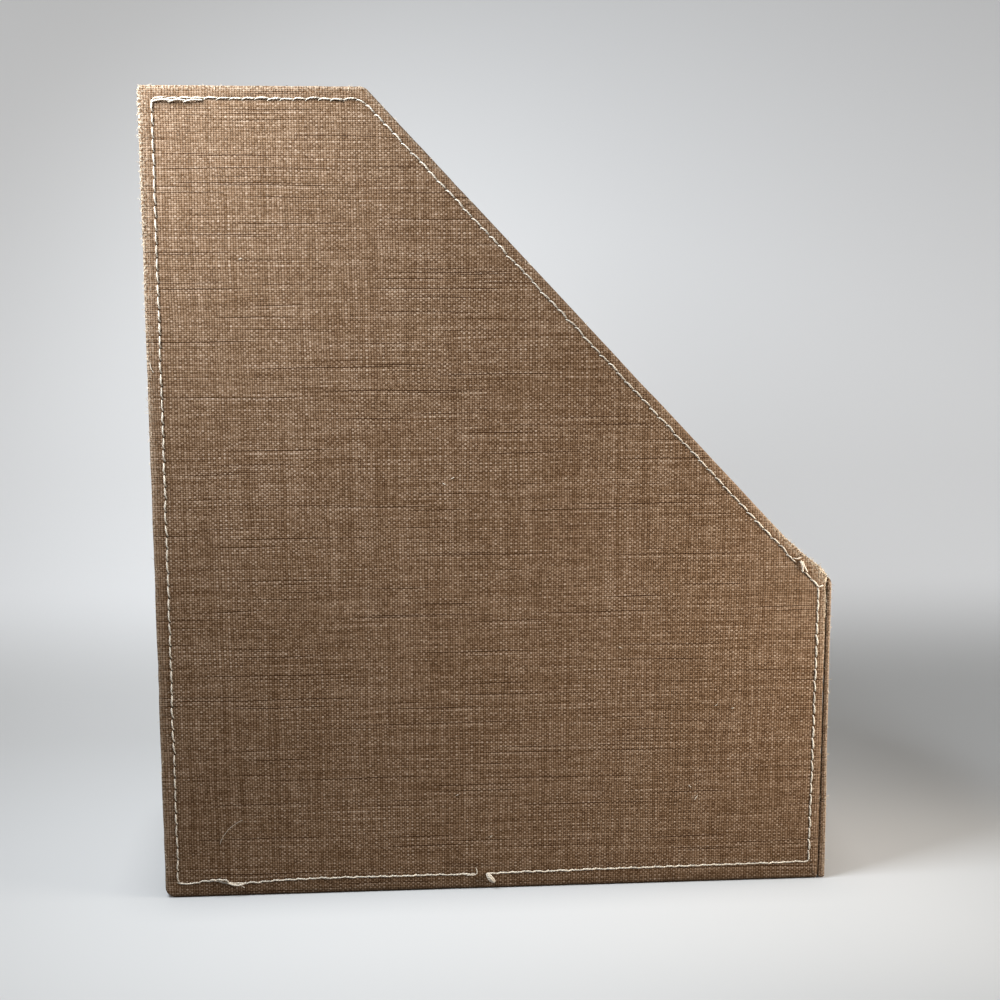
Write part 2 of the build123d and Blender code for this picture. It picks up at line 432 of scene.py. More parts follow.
@dataclass(frozen=True)
class LinenFinish:
    """Slubbed linen book cloth."""

    name: str
    thread_colour: Colour
    gap_colour: Colour
    crown_colour: Colour
    fuzz_colour: Colour
    deep_colour: Colour = (0.109, 0.058, 0.0265)
    hole_and_contact_shade_colour: Colour = (0.025, 0.015, 0.008)
    warp_pitch_mm: float = 0.95
    weft_pitch_mm: float = 0.735
    slubs: float = 1.0
    weave_depth: float = 0.12 * MM
    chequer_fade_from_wear_and_light: float = 10.0
    sheen: float = 0.05

    def build(self, groups: NodeGroups) -> bpy.types.Material:
        """Builds the material.

        Args:
            groups: the shared shader groups.

        Returns:
            The material, which reads the UV maps cloth and seam and the attributes rub and tight.
        """
        material, w, shader = new_material(self.name)
        cloth = w.out("ShaderNodeUVMap", uv_map="cloth")
        seam = w.out("ShaderNodeUVMap", uv_map="seam")
        rub = w.add("ShaderNodeAttribute", attribute_name="rub").outputs["Fac"]
        tight = w.add("ShaderNodeAttribute", attribute_name="tight").outputs["Fac"]

        weave = w.add("ShaderNodeGroup", node_tree=groups.weave)
        w.feed(weave.inputs["Cloth"], cloth)
        w.feed(weave.inputs["Warp Pitch"], self.warp_pitch_mm)
        w.feed(weave.inputs["Weft Pitch"], self.weft_pitch_mm)
        w.feed(weave.inputs["Thread Colour"], opaque(self.thread_colour))
        w.feed(weave.inputs["Gap Colour"], opaque(self.gap_colour))
        w.feed(weave.inputs["Deep Colour"], opaque(self.deep_colour))
        w.feed(weave.inputs["Crown Colour"], opaque(self.crown_colour))
        w.feed(weave.inputs["Slubs"], self.slubs)
        w.feed(weave.inputs["Wear"], w.math("MINIMUM", w.math("MULTIPLY", rub, self.chequer_fade_from_wear_and_light), 1.0))

        worn = w.add("ShaderNodeGroup", node_tree=groups.rub)
        w.feed(worn.inputs["Color"], weave.outputs["Color"])
        w.feed(worn.inputs["Fuzz Colour"], opaque(self.fuzz_colour))
        # Painted shade: the needle holes' dark colour also darkens the bottom fold as painted contact shade
        w.feed(worn.inputs["Soil Colour"], opaque(self.hole_and_contact_shade_colour))
        w.feed(worn.inputs["Rub"], rub)
        w.feed(worn.inputs["Cloth"], cloth)

        marks = w.add("ShaderNodeGroup", node_tree=groups.marks)
        w.feed(marks.inputs["Seam"], seam)
        shaded = w.tint(w.math("MULTIPLY", marks.outputs["Channel"], 0.2), worn.outputs["Color"], opaque(self.gap_colour))
        hole = w.math("MULTIPLY", marks.outputs["Hole"], tight)
        colour = w.tint(hole, shaded, opaque(self.hole_and_contact_shade_colour))
        w.feed(shader.inputs["Base Color"], colour)
        w.feed(shader.inputs["Roughness"], weave.outputs["Roughness"])

        relief = w.math("MULTIPLY_ADD", worn.outputs["Fuzz"], 2.0, weave.outputs["Height"])
        bump = w.add("ShaderNodeBump")
        bump.inputs["Strength"].default_value = 1.0
        bump.inputs["Distance"].default_value = self.weave_depth
        w.feed(bump.inputs["Height"], relief)
        w.feed(shader.inputs["Normal"], bump.outputs[0])
        shader.inputs["Sheen Weight"].default_value = self.sheen
        shader.inputs["Sheen Roughness"].default_value = 0.5
        shader.inputs["Sheen Tint"].default_value = opaque(self.fuzz_colour)
        shader.inputs["Specular IOR Level"].default_value = 0.05
        return material


@dataclass(frozen=True)
class FibreFinish:
    """Pale loose fibres rubbed out of the linen."""

    name: str
    pale: Colour
    dark: Colour

    def build(self) -> bpy.types.Material:
        """Builds the material, which reads the attribute shade, and returns it."""
        material, w, shader = new_material(self.name)
        shade = w.add("ShaderNodeAttribute", attribute_name="shade").outputs["Fac"]
        w.feed(shader.inputs["Base Color"], w.tint(shade, opaque(self.dark), opaque(self.pale)))
        w.feed(shader.inputs["Roughness"], w.blend(0.80, 0.95, shade))
        shader.inputs["Specular IOR Level"].default_value = 0.05
        return material


@dataclass(frozen=True)
class ThreadFinish:
    """Two-ply sewing thread, whose plies wind round each other."""

    name: str
    colour: Colour
    groove_shade_colour: Colour
    turns_per_mm: float = 0.7
    plies: int = 2
    ply_depth: float = 0.06 * MM

    def build(self) -> bpy.types.Material:
        """Builds the material.

        Returns:
            The material, which reads the UV map thread (millimetres along, turns round) and the attribute shade.
        """
        material, w, shader = new_material(self.name)
        split = w.add("ShaderNodeSeparateXYZ", w.out("ShaderNodeUVMap", uv_map="thread"))
        along, around = split.outputs[0], split.outputs[1]
        turn = w.math("MULTIPLY_ADD", along, self.turns_per_mm * self.plies, w.math("MULTIPLY", around, float(self.plies)))
        ply = w.math("MULTIPLY_ADD", w.math("COSINE", w.math("MULTIPLY", turn, 2 * pi)), 0.5, 0.5)
        shade = w.add("ShaderNodeAttribute", attribute_name="shade").outputs["Fac"]
        fibres = w.noise(w.point(w.math("MULTIPLY", along, 2.0), w.math("MULTIPLY", turn, 3.0)), 1.0, 4.0)
        # Painted shade: the grooves between the plies are darker than the plies
        lit = w.tint(w.step(ply, 0.0, 0.6), opaque(self.groove_shade_colour), opaque(self.colour))
        toned = w.out("ShaderNodeVectorMath", lit, operation="SCALE")
        w.feed(toned.node.inputs["Scale"], w.math("MULTIPLY", w.blend(0.82, 1.06, shade), w.blend(0.88, 1.10, fibres)))
        w.feed(shader.inputs["Base Color"], toned)
        w.feed(shader.inputs["Roughness"], w.blend(0.45, 0.75, fibres))
        bump = w.add("ShaderNodeBump")
        bump.inputs["Strength"].default_value = 1.0
        bump.inputs["Distance"].default_value = self.ply_depth
        w.feed(bump.inputs["Height"], w.math("MULTIPLY_ADD", fibres, 0.4, ply))
        w.feed(shader.inputs["Normal"], bump.outputs[0])
        shader.inputs["Sheen Weight"].default_value = 0.15
        return material


@dataclass(frozen=True)
class BoardFinish:
    """Grey recycled board with specks of fibre."""

    name: str
    pale: Colour
    dark: Colour

    def build(self) -> bpy.types.Material:
        """Builds the material on Object coordinates, and returns it."""
        material, w, shader = new_material(self.name)
        place = w.add("ShaderNodeTexCoord").outputs["Object"]
        pulp = w.out("ShaderNodeTexNoise", place, 900.0, 5.0)
        specks = w.out("ShaderNodeTexVoronoi", place, 1400.0)
        colour = w.tint(w.step(pulp, 0.35, 0.65), opaque(self.dark), opaque(self.pale))
        w.feed(shader.inputs["Base Color"], w.tint(w.step(specks, 0.12, 0.05), colour, opaque(self.dark)))
        w.feed(shader.inputs["Roughness"], w.blend(0.85, 0.97, pulp))
        bump = w.add("ShaderNodeBump")
        bump.inputs["Distance"].default_value = 0.05 * MM
        w.feed(bump.inputs["Height"], pulp)
        w.feed(shader.inputs["Normal"], bump.outputs[0])
        return material


@dataclass(frozen=True)
class StageFinish:
    """Matt pale paper of the floor and backdrop, which glows a little for the camera but not on the holder.

    It is clear from behind, so that the backdrop hides the holder from no side.
    """

    name: str
    floor_colour: Colour = (0.300, 0.297, 0.290)
    wall_colour: Colour = (0.325, 0.325, 0.32)
    bounce_colour: Colour = (0.30, 0.30, 0.30)
    floor_glow: tuple[Colour, Colour] = ((0.335, 0.335, 0.33), (0.20, 0.195, 0.185))
    wall_glow: tuple[Colour, Colour] = ((0.51, 0.515, 0.52), (0.47, 0.465, 0.46))
    rise: Flat = (0.005, 0.06)
    sideways: Flat = (-0.30, 0.30)
    fade: Flat = (0.15, 0.50)
    contact_reach: float = 0.025

    def build(self) -> bpy.types.Material:
        """Builds the material, which turns from the floor's tone to the wall's with height, and returns it."""
        material, w, shader = new_material(self.name)
        place = w.add("ShaderNodeTexCoord").outputs["Object"]
        split = w.add("ShaderNodeSeparateXYZ", place)
        up, right = w.step(split.outputs[2], *self.rise), w.step(split.outputs[0], *self.sideways)
        cloud = w.out("ShaderNodeTexNoise", place, 3.0, 3.0)
        colour = w.tint(up, opaque(self.floor_colour), opaque(self.wall_colour))
        toned = w.out("ShaderNodeVectorMath", colour, operation="SCALE")
        w.feed(toned.node.inputs["Scale"], w.blend(0.96, 1.04, cloud))
        # Painted light: only the camera sees a glow on the floor and backdrop, paler at the left than at the right
        floor_glow, wall_glow = (w.tint(right, *map(opaque, pair)) for pair in (self.floor_glow, self.wall_glow))
        rays = w.add("ShaderNodeLightPath").outputs
        seen = w.math("MAXIMUM", rays["Is Camera Ray"], w.math("MAXIMUM", rays["Is Glossy Ray"], rays["Is Transmission Ray"]))
        w.feed(shader.inputs["Base Color"], w.tint(seen, opaque(self.bounce_colour), toned))
        glow = w.out("ShaderNodeVectorMath", w.tint(up, floor_glow, wall_glow), operation="SCALE")
        # Painted shade: ambient occlusion dims the glow near the holder as a painted contact shadow, and the glow is
        # painted darker higher up the backdrop
        painted_contact_shade = w.add("ShaderNodeAmbientOcclusion", samples=8)
        painted_contact_shade.inputs["Distance"].default_value = self.contact_reach
        kept = w.math("MULTIPLY", painted_contact_shade.outputs["AO"], w.blend(1.0, 0.76, w.step(split.outputs[2], *self.fade)))
        w.feed(glow.node.inputs["Scale"], kept)
        w.feed(shader.inputs["Emission Color"], w.tint(seen, opaque(BLACK), glow))
        shader.inputs["Emission Strength"].default_value = 1.0
        shader.inputs["Roughness"].default_value = 0.9
        from_behind = w.add("ShaderNodeNewGeometry").outputs["Backfacing"]
        w.feed(shader.inputs["Alpha"], w.math("SUBTRACT", 1.0, from_behind))
        return material


@dataclass(frozen=True)
class Finishes:
    """Every finish of the holder, built once."""

    cover: bpy.types.Material
    lining: bpy.types.Material
    needle_thread: bpy.types.Material
    bobbin_thread: bpy.types.Material
    board: bpy.types.Material
    fibre: bpy.types.Material

    @staticmethod
    def build() -> "Finishes":
        """Builds the shared groups and the materials, and returns them."""
        groups = NodeGroups()
        cover = LinenFinish(
            "cover_linen",
            thread_colour=(0.213, 0.132, 0.078),
            gap_colour=(0.026, 0.010, 0.0035),
            crown_colour=(0.38, 0.276, 0.195),
            fuzz_colour=(0.45, 0.36, 0.26),
        )
        lining = replace(cover, name="lining_linen", thread_colour=(0.24, 0.15, 0.088))
        needle = ThreadFinish("needle_thread", (0.63, 0.545, 0.43), (0.38, 0.30, 0.21))
        bobbin = replace(needle, name="bobbin_thread", colour=(0.74, 0.67, 0.55))
        board = BoardFinish("greyboard", (0.36, 0.335, 0.30), (0.22, 0.205, 0.18))
        fibre = FibreFinish("linen_fibre", (0.72, 0.60, 0.45), (0.45, 0.34, 0.22))
        built = [finish.build() for finish in (needle, bobbin, board, fibre)]
        return Finishes(cover.build(groups), lining.build(groups), *built)


@dataclass(frozen=True)
class SeamSpan:
    """Stretch of a panel's edge with stitches, or without them where the seam's two ends leave a gap."""

    edge: int
    start: float
    end: float
    stitches: int
    stitched: bool


@dataclass(frozen=True)
class Columns:
    """Places along a panel's outline where its rings of points have a point each.

    A column stands on edge number edge at a share of its straight length, or on the corner that ends the
    edge, where share is 1 and turn is the share of the corner's arc.
    """

    edge: np.ndarray
    share: np.ndarray
    turn: np.ndarray
    stitch: np.ndarray
    stitched: np.ndarray


def directions(corners: np.ndarray) -> np.ndarray:
    """Unit direction of each edge of an outline."""
    runs = np.roll(corners, -1, axis=0) - corners
    return runs / np.linalg.norm(runs, axis=1, keepdims=True)


def move_edges(corners: np.ndarray, insets: Sequence[float]) -> np.ndarray:
    """Corners of an outline with each edge moved in.

    Args:
        corners: of the outline, anticlockwise.
        insets: how far each edge moves in.

    Returns:
        One point a row.
    """
    along = directions(corners)
    starts = corners + np.stack([-along[:, 1], along[:, 0]], axis=1) * np.array(insets)[:, None]
    points = []
    for here, before in zip(range(len(starts)), range(-1, len(starts) - 1)):
        gap = starts[here] - starts[before]
        turn = along[before][0] * along[here][1] - along[before][1] * along[here][0]
        reach = (gap[0] * along[here][1] - gap[1] * along[here][0]) / turn
        points.append(starts[before] + along[before] * reach)
    return np.array(points)


def corner_parts(points: np.ndarray, radii: np.ndarray) -> tuple[np.ndarray, np.ndarray, np.ndarray, np.ndarray]:
    """Straight parts and corners of an outline with rounded corners.

    Args:
        points: the outline's corners.
        radii: of the corners.

    Returns:
        Where each edge's straight part starts and ends, each corner's turn, and each edge's direction outwards.
    """
    along = directions(points)
    turns = np.arccos(np.clip((np.roll(along, 1, axis=0) * along).sum(axis=1), -1.0, 1.0))
    trims = radii * np.tan(turns / 2)
    first = points + along * trims[:, None]
    last = np.roll(points, -1, axis=0) - along * np.roll(trims, -1)[:, None]
    return first, last, turns, np.stack([along[:, 1], -along[:, 0]], axis=1)


@dataclass(frozen=True)
class EdgeLook:
    """What one folded and stitched edge has of its own.

    shift is how far the fold lies outside its plain line at the outer face, rub how pale the fold is from wear
    together with painted light and below 0 how dark from painted contact shade, loose how slack its stitches are,
    bow how far each of them curves outwards, and slant how much it is turned.
    """

    seam_inset: float = 5.3 * MM
    shift: float = 0.0
    rub: float = 1.0
    loose: float = 0.3
    bow: float = 0.3 * MM
    slant: float = 1.0


@dataclass(frozen=True)
class Spot:
    """Round spot on a panel, where something is stronger towards the middle."""

    centre: Flat
    radius: float
    amount: float = 1.0

    def near(self, flat: np.ndarray) -> np.ndarray:
        """Share at each point, from 0 outside the spot to 1 at its middle."""
        return np.clip(1 - np.linalg.norm(flat - np.array(self.centre), axis=1) / self.radius, 0, 1)


@dataclass(frozen=True)
class Strand:
    """Loose length of thread on a panel, whose points are millimetres across, up and out from its face."""

    points: tuple[tuple[float, float, float], ...]
    diameter: float = 0.45 * MM


@dataclass(frozen=True)
class PanelShape:
    """Outline of a covered panel on the plane of its outer face.

    Corners run anticlockwise as seen from outside, as lengths across and up from the origin. Edge i runs
    from corner i to the next. seam_sag maps an edge to points (share, extra inset) where its seam strays.
    wear_and_light_spots are paler, from wear at a worn corner and painted light at a lit one; bulges push the fold
    out, and sunk has no stitches to be seen. lean is how far the outer face is pressed in at the panel's top.
    """

    name: str
    origin: Vector
    across: Vector
    up: Vector
    corners: tuple[Flat, ...]
    rounds: tuple[float, ...]
    edges: tuple[EdgeLook, ...]
    seam_corners: tuple[Flat, ...]
    seam_rounds: tuple[float, ...]
    stitched: bool = True
    seam_gap: tuple[int, float, float] | None = None
    seam_sag: tuple[tuple[int, tuple[Flat, ...]], ...] = ()
    seam_wobble: float = 0.15 * MM
    wear_and_light_spots: tuple[Spot, ...] = ()
    bulges: tuple[Spot, ...] = ()
    sunk: tuple[Spot, ...] = ()
    strands: tuple[Strand, ...] = ()
    inner_round: float = 0.5 * MM
    inner_rub: float = 0.7
    cut_from: Flat = (0.0, 0.0)
    lean: float = 0.0

    @property
    def outward(self) -> Vector:
        """Direction out of the holder."""
        return self.across.cross(self.up)

    @property
    def centre(self) -> np.ndarray:
        """Mean of the corners."""
        return np.array(self.corners).mean(axis=0)

    @property
    def perimeter(self) -> float:
        """Length of the outline."""
        count = len(self.corners)
        return sum(hypot(*np.subtract(self.corners[(i + 1) % count], self.corners[i])) for i in range(count))

    @property
    def area(self) -> float:
        """Area inside the outline."""
        xs, ys = np.array(self.corners).T
        return 0.5 * float(np.dot(xs, np.roll(ys, -1)) - np.dot(ys, np.roll(xs, -1)))

    @property
    def seed(self) -> int:
        """The panel's own seed for random numbers."""
        return sum(map(ord, self.name))

    def trait(self, name: str, columns: Columns) -> np.ndarray:
        """One number of the edges' looks at each column, blended round the corners."""
        values = np.array([getattr(edge, name) for edge in self.edges])
        return values[columns.edge] * (1 - columns.turn) + np.roll(values, -1)[columns.edge] * columns.turn

    def spans(self) -> list[SeamSpan]:
        """Stretches of the seam in order round the panel."""
        starts, ends, _, _ = corner_parts(np.array(self.seam_corners), np.array(self.seam_rounds))
        spans = []
        for edge, (start, end) in enumerate(zip(starts, ends)):
            length = hypot(*(end - start))
            marks = [0.0, length]
            if self.seam_gap and self.seam_gap[0] == edge:
                first = self.seam_gap[1] - abs(start[0])
                marks = [0.0, first, first + self.seam_gap[2], length]
            for index, (low, high) in enumerate(zip(marks, marks[1:])):
                stitches = max(1, round((high - low) / STITCH_PITCH))
                spans.append(SeamSpan(edge, low / length, high / length, stitches, self.stitched and index != 1))
        return spans

    def columns(self, per_stitch: int = 3, arc_steps: int = 6) -> Columns:
        """Works out the columns.

        Args:
            per_stitch: columns from one needle hole to the next.
            arc_steps: steps round each corner.

        Returns:
            The columns in order round the panel.
        """
        rows = []
        stitch = 0.0
        spans = self.spans()
        for index, span in enumerate(spans):
            steps = span.stitches * per_stitch
            last = index + 1 == len(spans) or spans[index + 1].edge != span.edge
            for step in range(steps + last):
                share = span.start + (span.end - span.start) * step / steps
                rows.append((span.edge, share, 0.0, stitch + step / per_stitch, span.stitched))
            stitch += span.stitches
            if last:
                on_arc = int(self.seam_rounds[(span.edge + 1) % len(self.seam_rounds)] > 0)
                for turn in range(1, arc_steps):
                    share = turn / arc_steps
                    rows.append((span.edge, 1.0, share, stitch + share * on_arc, span.stitched))
                stitch += on_arc
        edge, share, turn, stitch_at, stitched = (np.array(column) for column in zip(*rows))
        return Columns(edge, share, turn, stitch_at, stitched.astype(float))

    def sag(self, columns: Columns) -> np.ndarray:
        """How much further in the seam lies than its edge's inset, at each column."""
        amount = np.zeros(len(columns.edge))
        for edge, points in self.seam_sag:
            shares, insets = zip(*points)
            here = (columns.edge == edge) & (columns.turn == 0)
            amount[here] = np.interp(columns.share[here], shares, insets)
        holes = int(columns.stitch.max()) + 2
        wobble = np.random.default_rng(self.seed).uniform(-self.seam_wobble, self.seam_wobble, holes)
        at_corner = (columns.share <= 0) | (columns.share >= 1)
        wobble[np.unique(np.floor(columns.stitch[at_corner] + 0.01)).astype(int)] = 0.0
        return amount + np.where(columns.turn == 0, np.interp(columns.stitch, np.arange(holes), wobble), 0.0)

    def edge_ring(self, columns: Columns, inset: float, depth: float = 0.0) -> tuple[np.ndarray, np.ndarray]:
        """Outline moved in from the folded edges.

        Args:
            columns: where the ring's points stand.
            inset: how far in.
            depth: how far inside the outer face, where the edges' shifts fade.

        Returns:
            The points and the directions outwards in the panel's plane.
        """
        share = max(0.0, 1 - depth / PANEL_THICKNESS)
        insets = [inset - edge.shift * share for edge in self.edges]
        return self._ring(columns, move_edges(np.array(self.corners), insets), np.array(self.rounds) - inset)

    def seam_ring(self, columns: Columns, outwards: float) -> tuple[np.ndarray, np.ndarray]:
        """Line beside the seam, nearer to the edges by outwards, as edge_ring returns it."""
        points = move_edges(np.array(self.seam_corners), (-outwards,) * len(self.corners))
        flat, normal = self._ring(columns, points, np.array(self.seam_rounds) + outwards)
        return flat - normal * self.sag(columns)[:, None], normal

    @staticmethod
    def _ring(columns: Columns, points: np.ndarray, radii: np.ndarray) -> tuple[np.ndarray, np.ndarray]:
        """Outline with rounded corners.

        Args:
            columns: where the ring's points stand.
            points: the outline's corners.
            radii: of the corners.

        Returns:
            The points and the directions outwards in the panel's plane.
        """
        radii = np.maximum(radii, 0.01 * MM)
        first, last, turns, outwards = corner_parts(points, radii)
        edge, share = columns.edge, columns.share[:, None]
        flat = first[edge] * (1 - share) + last[edge] * share
        corner = (edge + 1) % len(points)
        angle = turns[corner] * columns.turn
        normal = outwards[edge]
        turned = np.stack(
            [
                normal[:, 0] * np.cos(angle) - normal[:, 1] * np.sin(angle),
                normal[:, 0] * np.sin(angle) + normal[:, 1] * np.cos(angle),
            ],
            axis=1,
        )
        return flat + radii[corner][:, None] * (turned - normal), turned

    def place(self, flat: np.ndarray, depth: np.ndarray | float) -> np.ndarray:
        """Points of the frame.

        Args:
            flat: lengths across and up the panel, one point a row.
            depth: how far inside the outer face they lie.

        Returns:
            One point a row.
        """
        depth = np.broadcast_to(np.asarray(depth, float), flat.shape[:1])
        height = max(up for _, up in self.corners)
        pressed = self.lean * np.interp(flat[:, 1] / height, LEAN_HEIGHTS, LEAN_SHARES)
        depth = depth + pressed * np.clip(1 - depth / PANEL_THICKNESS, 0.0, 1.0)
        return (
            np.array(self.origin)
            + flat[:, :1] * np.array(self.across)
            + flat[:, 1:] * np.array(self.up)
            - depth[:, None] * np.array(self.outward)
        )


@dataclass
class Ring:
    """One ring of points of a cloth mesh, with what its finish reads."""

    points: np.ndarray
    cloth: np.ndarray
    across: np.ndarray
    rub: np.ndarray


def ripple(points: np.ndarray, size: float, seed: float) -> np.ndarray:
    """Smooth random numbers about 0 at points on a panel.

    Args:
        points: flat points, one a row.
        size: how far apart the ripples are.
        seed: which ripples.

    Returns:
        One number a point, from about -0.5 to 0.5.
    """
    return np.array([noise.noise(Vector((x / size, y / size, seed))) for x, y in points])


@dataclass
class ClothMesh:
    """Mesh of a cloth layer from rings of points, from its middle outwards."""

    name: str
    columns: Columns
    tight: np.ndarray
    rings: list[Ring] = field(default_factory=list)

    def build(self, inside_out: bool) -> bpy.types.Object:
        """Joins the rings into a mesh with UV maps cloth and seam and the attributes rub and tight.

        Args:
            inside_out: whether the faces look into the holder.

        Returns:
            The object, at the origin.
        """
        count = len(self.columns.edge)
        points = np.concatenate([ring.points for ring in self.rings])
        middle = len(points)
        points = np.vstack([points, self.rings[0].points.mean(axis=0)])
        faces, corners = [], []
        for row in range(len(self.rings) - 1):
            for here in range(count):
                there = here + 1
                quad = [(row, here), (row + 1, here), (row + 1, there), (row, there)]
                faces.append([r * count + c % count for r, c in quad])
                corners.append(quad)
        for here in range(count):
            faces.append([middle, here, (here + 1) % count])
            corners.append([(-1, here), (0, here), (0, here + 1)])
        if inside_out:
            faces = [face[::-1] for face in faces]
            corners = [corner[::-1] for corner in corners]

        mesh = bpy.data.meshes.new(self.name)
        mesh.from_pydata(points.tolist(), [], faces)
        self._unwrap(mesh, [corner for face in corners for corner in face])
        rub = np.concatenate([ring.rub for ring in self.rings])
        for name, values in (("rub", rub), ("tight", np.tile(self.tight, len(self.rings)))):
            mesh.attributes.new(name, "FLOAT", "POINT").data.foreach_set("value", np.append(values, 0.0))
        mesh.shade_smooth()
        piece = bpy.data.objects.new(self.name, mesh)
        bpy.context.scene.collection.objects.link(piece)
        return piece

    def _unwrap(self, mesh: bpy.types.Mesh, corners: list[tuple[int, int]]) -> None:
        """Writes the two UV maps.

        Args:
            mesh: the new mesh.
            corners: ring and column of each corner of each face, in the mesh's order, -1 for the middle.
        """
        count = len(self.columns.edge)
        row, column = np.array(corners).T
        centre = row < 0
        row = np.where(centre, 0, row)
        cloth = np.stack([ring.cloth for ring in self.rings])
        across = np.stack([ring.across for ring in self.rings])
        around = np.append(self.columns.stitch, self.columns.stitch[-1])
        uv = cloth[row, column % count] / MM
        uv[centre] = self.rings[0].cloth.mean(axis=0) / MM
        seam = np.stack([around[column], across[row, column % count] / MM], axis=1)
        for name, values in (("cloth", uv), ("seam", seam)):
            layer = mesh.uv_layers.new(name=name)
            layer.data.foreach_set("uv", values.astype(np.float32).ravel())


def finish_cloth(piece: bpy.types.Object, thickness: float) -> bpy.types.Object:
    """Gives a single layer its thickness, away from the side that shows, and makes it a plain mesh.

    Args:
        piece: the layer.
        thickness: of the cloth.

    Returns:
        The same object with the finished mesh.
    """
    weld = piece.modifiers.new("weld", "WELD")
    weld.merge_threshold = WELD_DISTANCE
    solid = piece.modifiers.new("thickness", "SOLIDIFY")
    solid.thickness = thickness
    solid.offset = -1.0
    return bake_modifiers(piece)


def bake_modifiers(piece: bpy.types.Object) -> bpy.types.Object:
    """Turns a piece's modifiers into a plain mesh.

    Args:
        piece: the object, with its modifiers' inputs set.

    Returns:
        The same object, with the evaluated mesh and no modifiers.
    """
    graph = bpy.context.evaluated_depsgraph_get()
    mesh = bpy.data.meshes.new_from_object(piece.evaluated_get(graph), depsgraph=graph)
    piece.modifiers.clear()
    old = piece.data
    piece.data = mesh
    mesh.name = piece.name
    if old.users == 0:
        bpy.data.meshes.remove(old)
    return piece


@dataclass
class CoverCloth:
    """Outer linen of a panel: its face, the wrapped edges and the turn-ins, pulled in along the seam."""

    shape: PanelShape
    edge_round: float = 0.9 * MM
    margin_fall: float = 0.30 * MM
    channel_depth: float = 0.18 * MM
    channel_width: float = 0.8 * MM
    dimple_depth: float = 0.14 * MM
    ripple_depth: float = 0.04 * MM
    edge_stray: float = 0.25 * MM
    bulge_lumps: float = 1.4 * MM

    def build(self, finishes: Finishes) -> bpy.types.Object:
        """Builds and dresses the cover.

        Args:
            finishes: the holder's finishes.

        Returns:
            The piece, which stands for the panel's cover node.
        """
        columns = self.shape.columns()
        mesh = ClothMesh(f"{self.shape.name}_linen", columns, 1 - self.shape.trait("loose", columns))
        mesh.rings = self._face_rings(columns) + self._edge_rings(columns)
        piece = finish_cloth(mesh.build(inside_out=False), CLOTH_THICKNESS)
        piece.data.materials.clear()
        piece.data.materials.append(finishes.cover)
        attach(piece, BODY)
        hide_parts(f"{self.shape.name}_cover")
        return piece

    def _fall(self, across: np.ndarray) -> np.ndarray:
        """How far the face falls away beyond the seam, at distances outwards from it."""
        return self.margin_fall * np.clip(across / (4.0 * MM), 0.0, 1.0) ** 1.5

    def _face_rings(self, columns: Columns) -> list[Ring]:
        """Rings of the outer face, from the middle to where the cloth starts to turn over the edge."""
        shape = self.shape
        inner, _ = shape.seam_ring(columns, -12 * MM)
        seam, _ = shape.seam_ring(columns, 0.0)
        rings = []
        for share in (0.12, 0.35, 0.6, 0.82):
            flat = shape.centre + (inner - shape.centre) * share
            rings.append(self._face_ring(columns, flat, np.full(len(flat), -12 * MM / max(share, 0.2))))
        for outwards in (-12, -7, -3.5, -1.6, -0.8, 0.0, 0.7, 1.3):
            flat, _ = shape.seam_ring(columns, outwards * MM)
            rings.append(self._face_ring(columns, flat, np.full(len(flat), outwards * MM)))
        for inset, rub in ((1.7 * MM, 0.18), (self.edge_round, 0.4)):
            flat, normal = shape.edge_ring(columns, inset)
            outwards = ((flat - seam) * normal).sum(axis=1)
            flat = flat + normal * self._stray(flat, normal)[:, None]
            rings.append(self._face_ring(columns, flat, outwards, rub * shape.trait("rub", columns)))
        return rings

    def _face_ring(
        self, columns: Columns, flat: np.ndarray, outwards: np.ndarray, rub: np.ndarray | float = 0.0
    ) -> Ring:
        """One ring of the outer face.

        Args:
            columns: the columns of the ring.
            flat: its points on the panel.
            outwards: how far beyond the seam each point lies.
            rub: how pale the cloth is there, from wear and painted light.

        Returns:
            The ring.
        """
        hole = 1.0 - np.clip(2.2 * np.abs(columns.stitch - np.round(columns.stitch)), 0.0, 1.0)
        near = np.exp(-((outwards / self.channel_width) ** 2)) * columns.stitched
        depth = near * (self.channel_depth * (0.75 + 0.25 * hole) + self.dimple_depth * hole)
        depth = depth + self._fall(outwards) + self.ripple_depth * ripple(flat, 28 * MM, 3.7)
        across = np.where(columns.stitched > 0, outwards, 20 * MM)
        return Ring(self.shape.place(flat, depth), self._cut(flat), across, self._worn(flat, rub))

    def _cut(self, flat: np.ndarray) -> np.ndarray:
        """Where points of the panel lie on the bolt of cloth."""
        return flat + np.array(self.shape.cut_from)

    def _worn(self, flat: np.ndarray, rub: np.ndarray | float) -> np.ndarray:
        """Paleness from wear and painted light, with more of it near the panel's spots."""
        worn = np.zeros(len(flat)) + rub
        for spot in self.shape.wear_and_light_spots:
            worn = worn * (1 + 1.2 * spot.amount * spot.near(flat)) + 0.12 * spot.near(flat)
        return worn

    def _stray(self, flat: np.ndarray, normal: np.ndarray) -> np.ndarray:
        """How far the folded edge strays from its straight line, and bulges where it faces up."""
        stray = self.edge_stray * (ripple(flat, 17 * MM, 1.3) + 0.5 * ripple(flat, 5 * MM, 8.1))
        stray = np.minimum(stray, 0.0)
        facing_up = np.clip((normal[:, 1] - 0.3) / 0.4, 0, 1)
        for spot in self.shape.bulges:
            lumps = spot.amount + self.bulge_lumps * ripple(flat, 2.2 * MM, 4.4)
            stray = stray + spot.near(flat) * facing_up * lumps
        return stray

    def fold_rings(self, columns: Columns) -> list[Ring]:
        """Rings over the outer edge of the fold, from the face down the panel's side."""
        return self._face_rings(columns)[-1:] + self._edge_rings(columns)

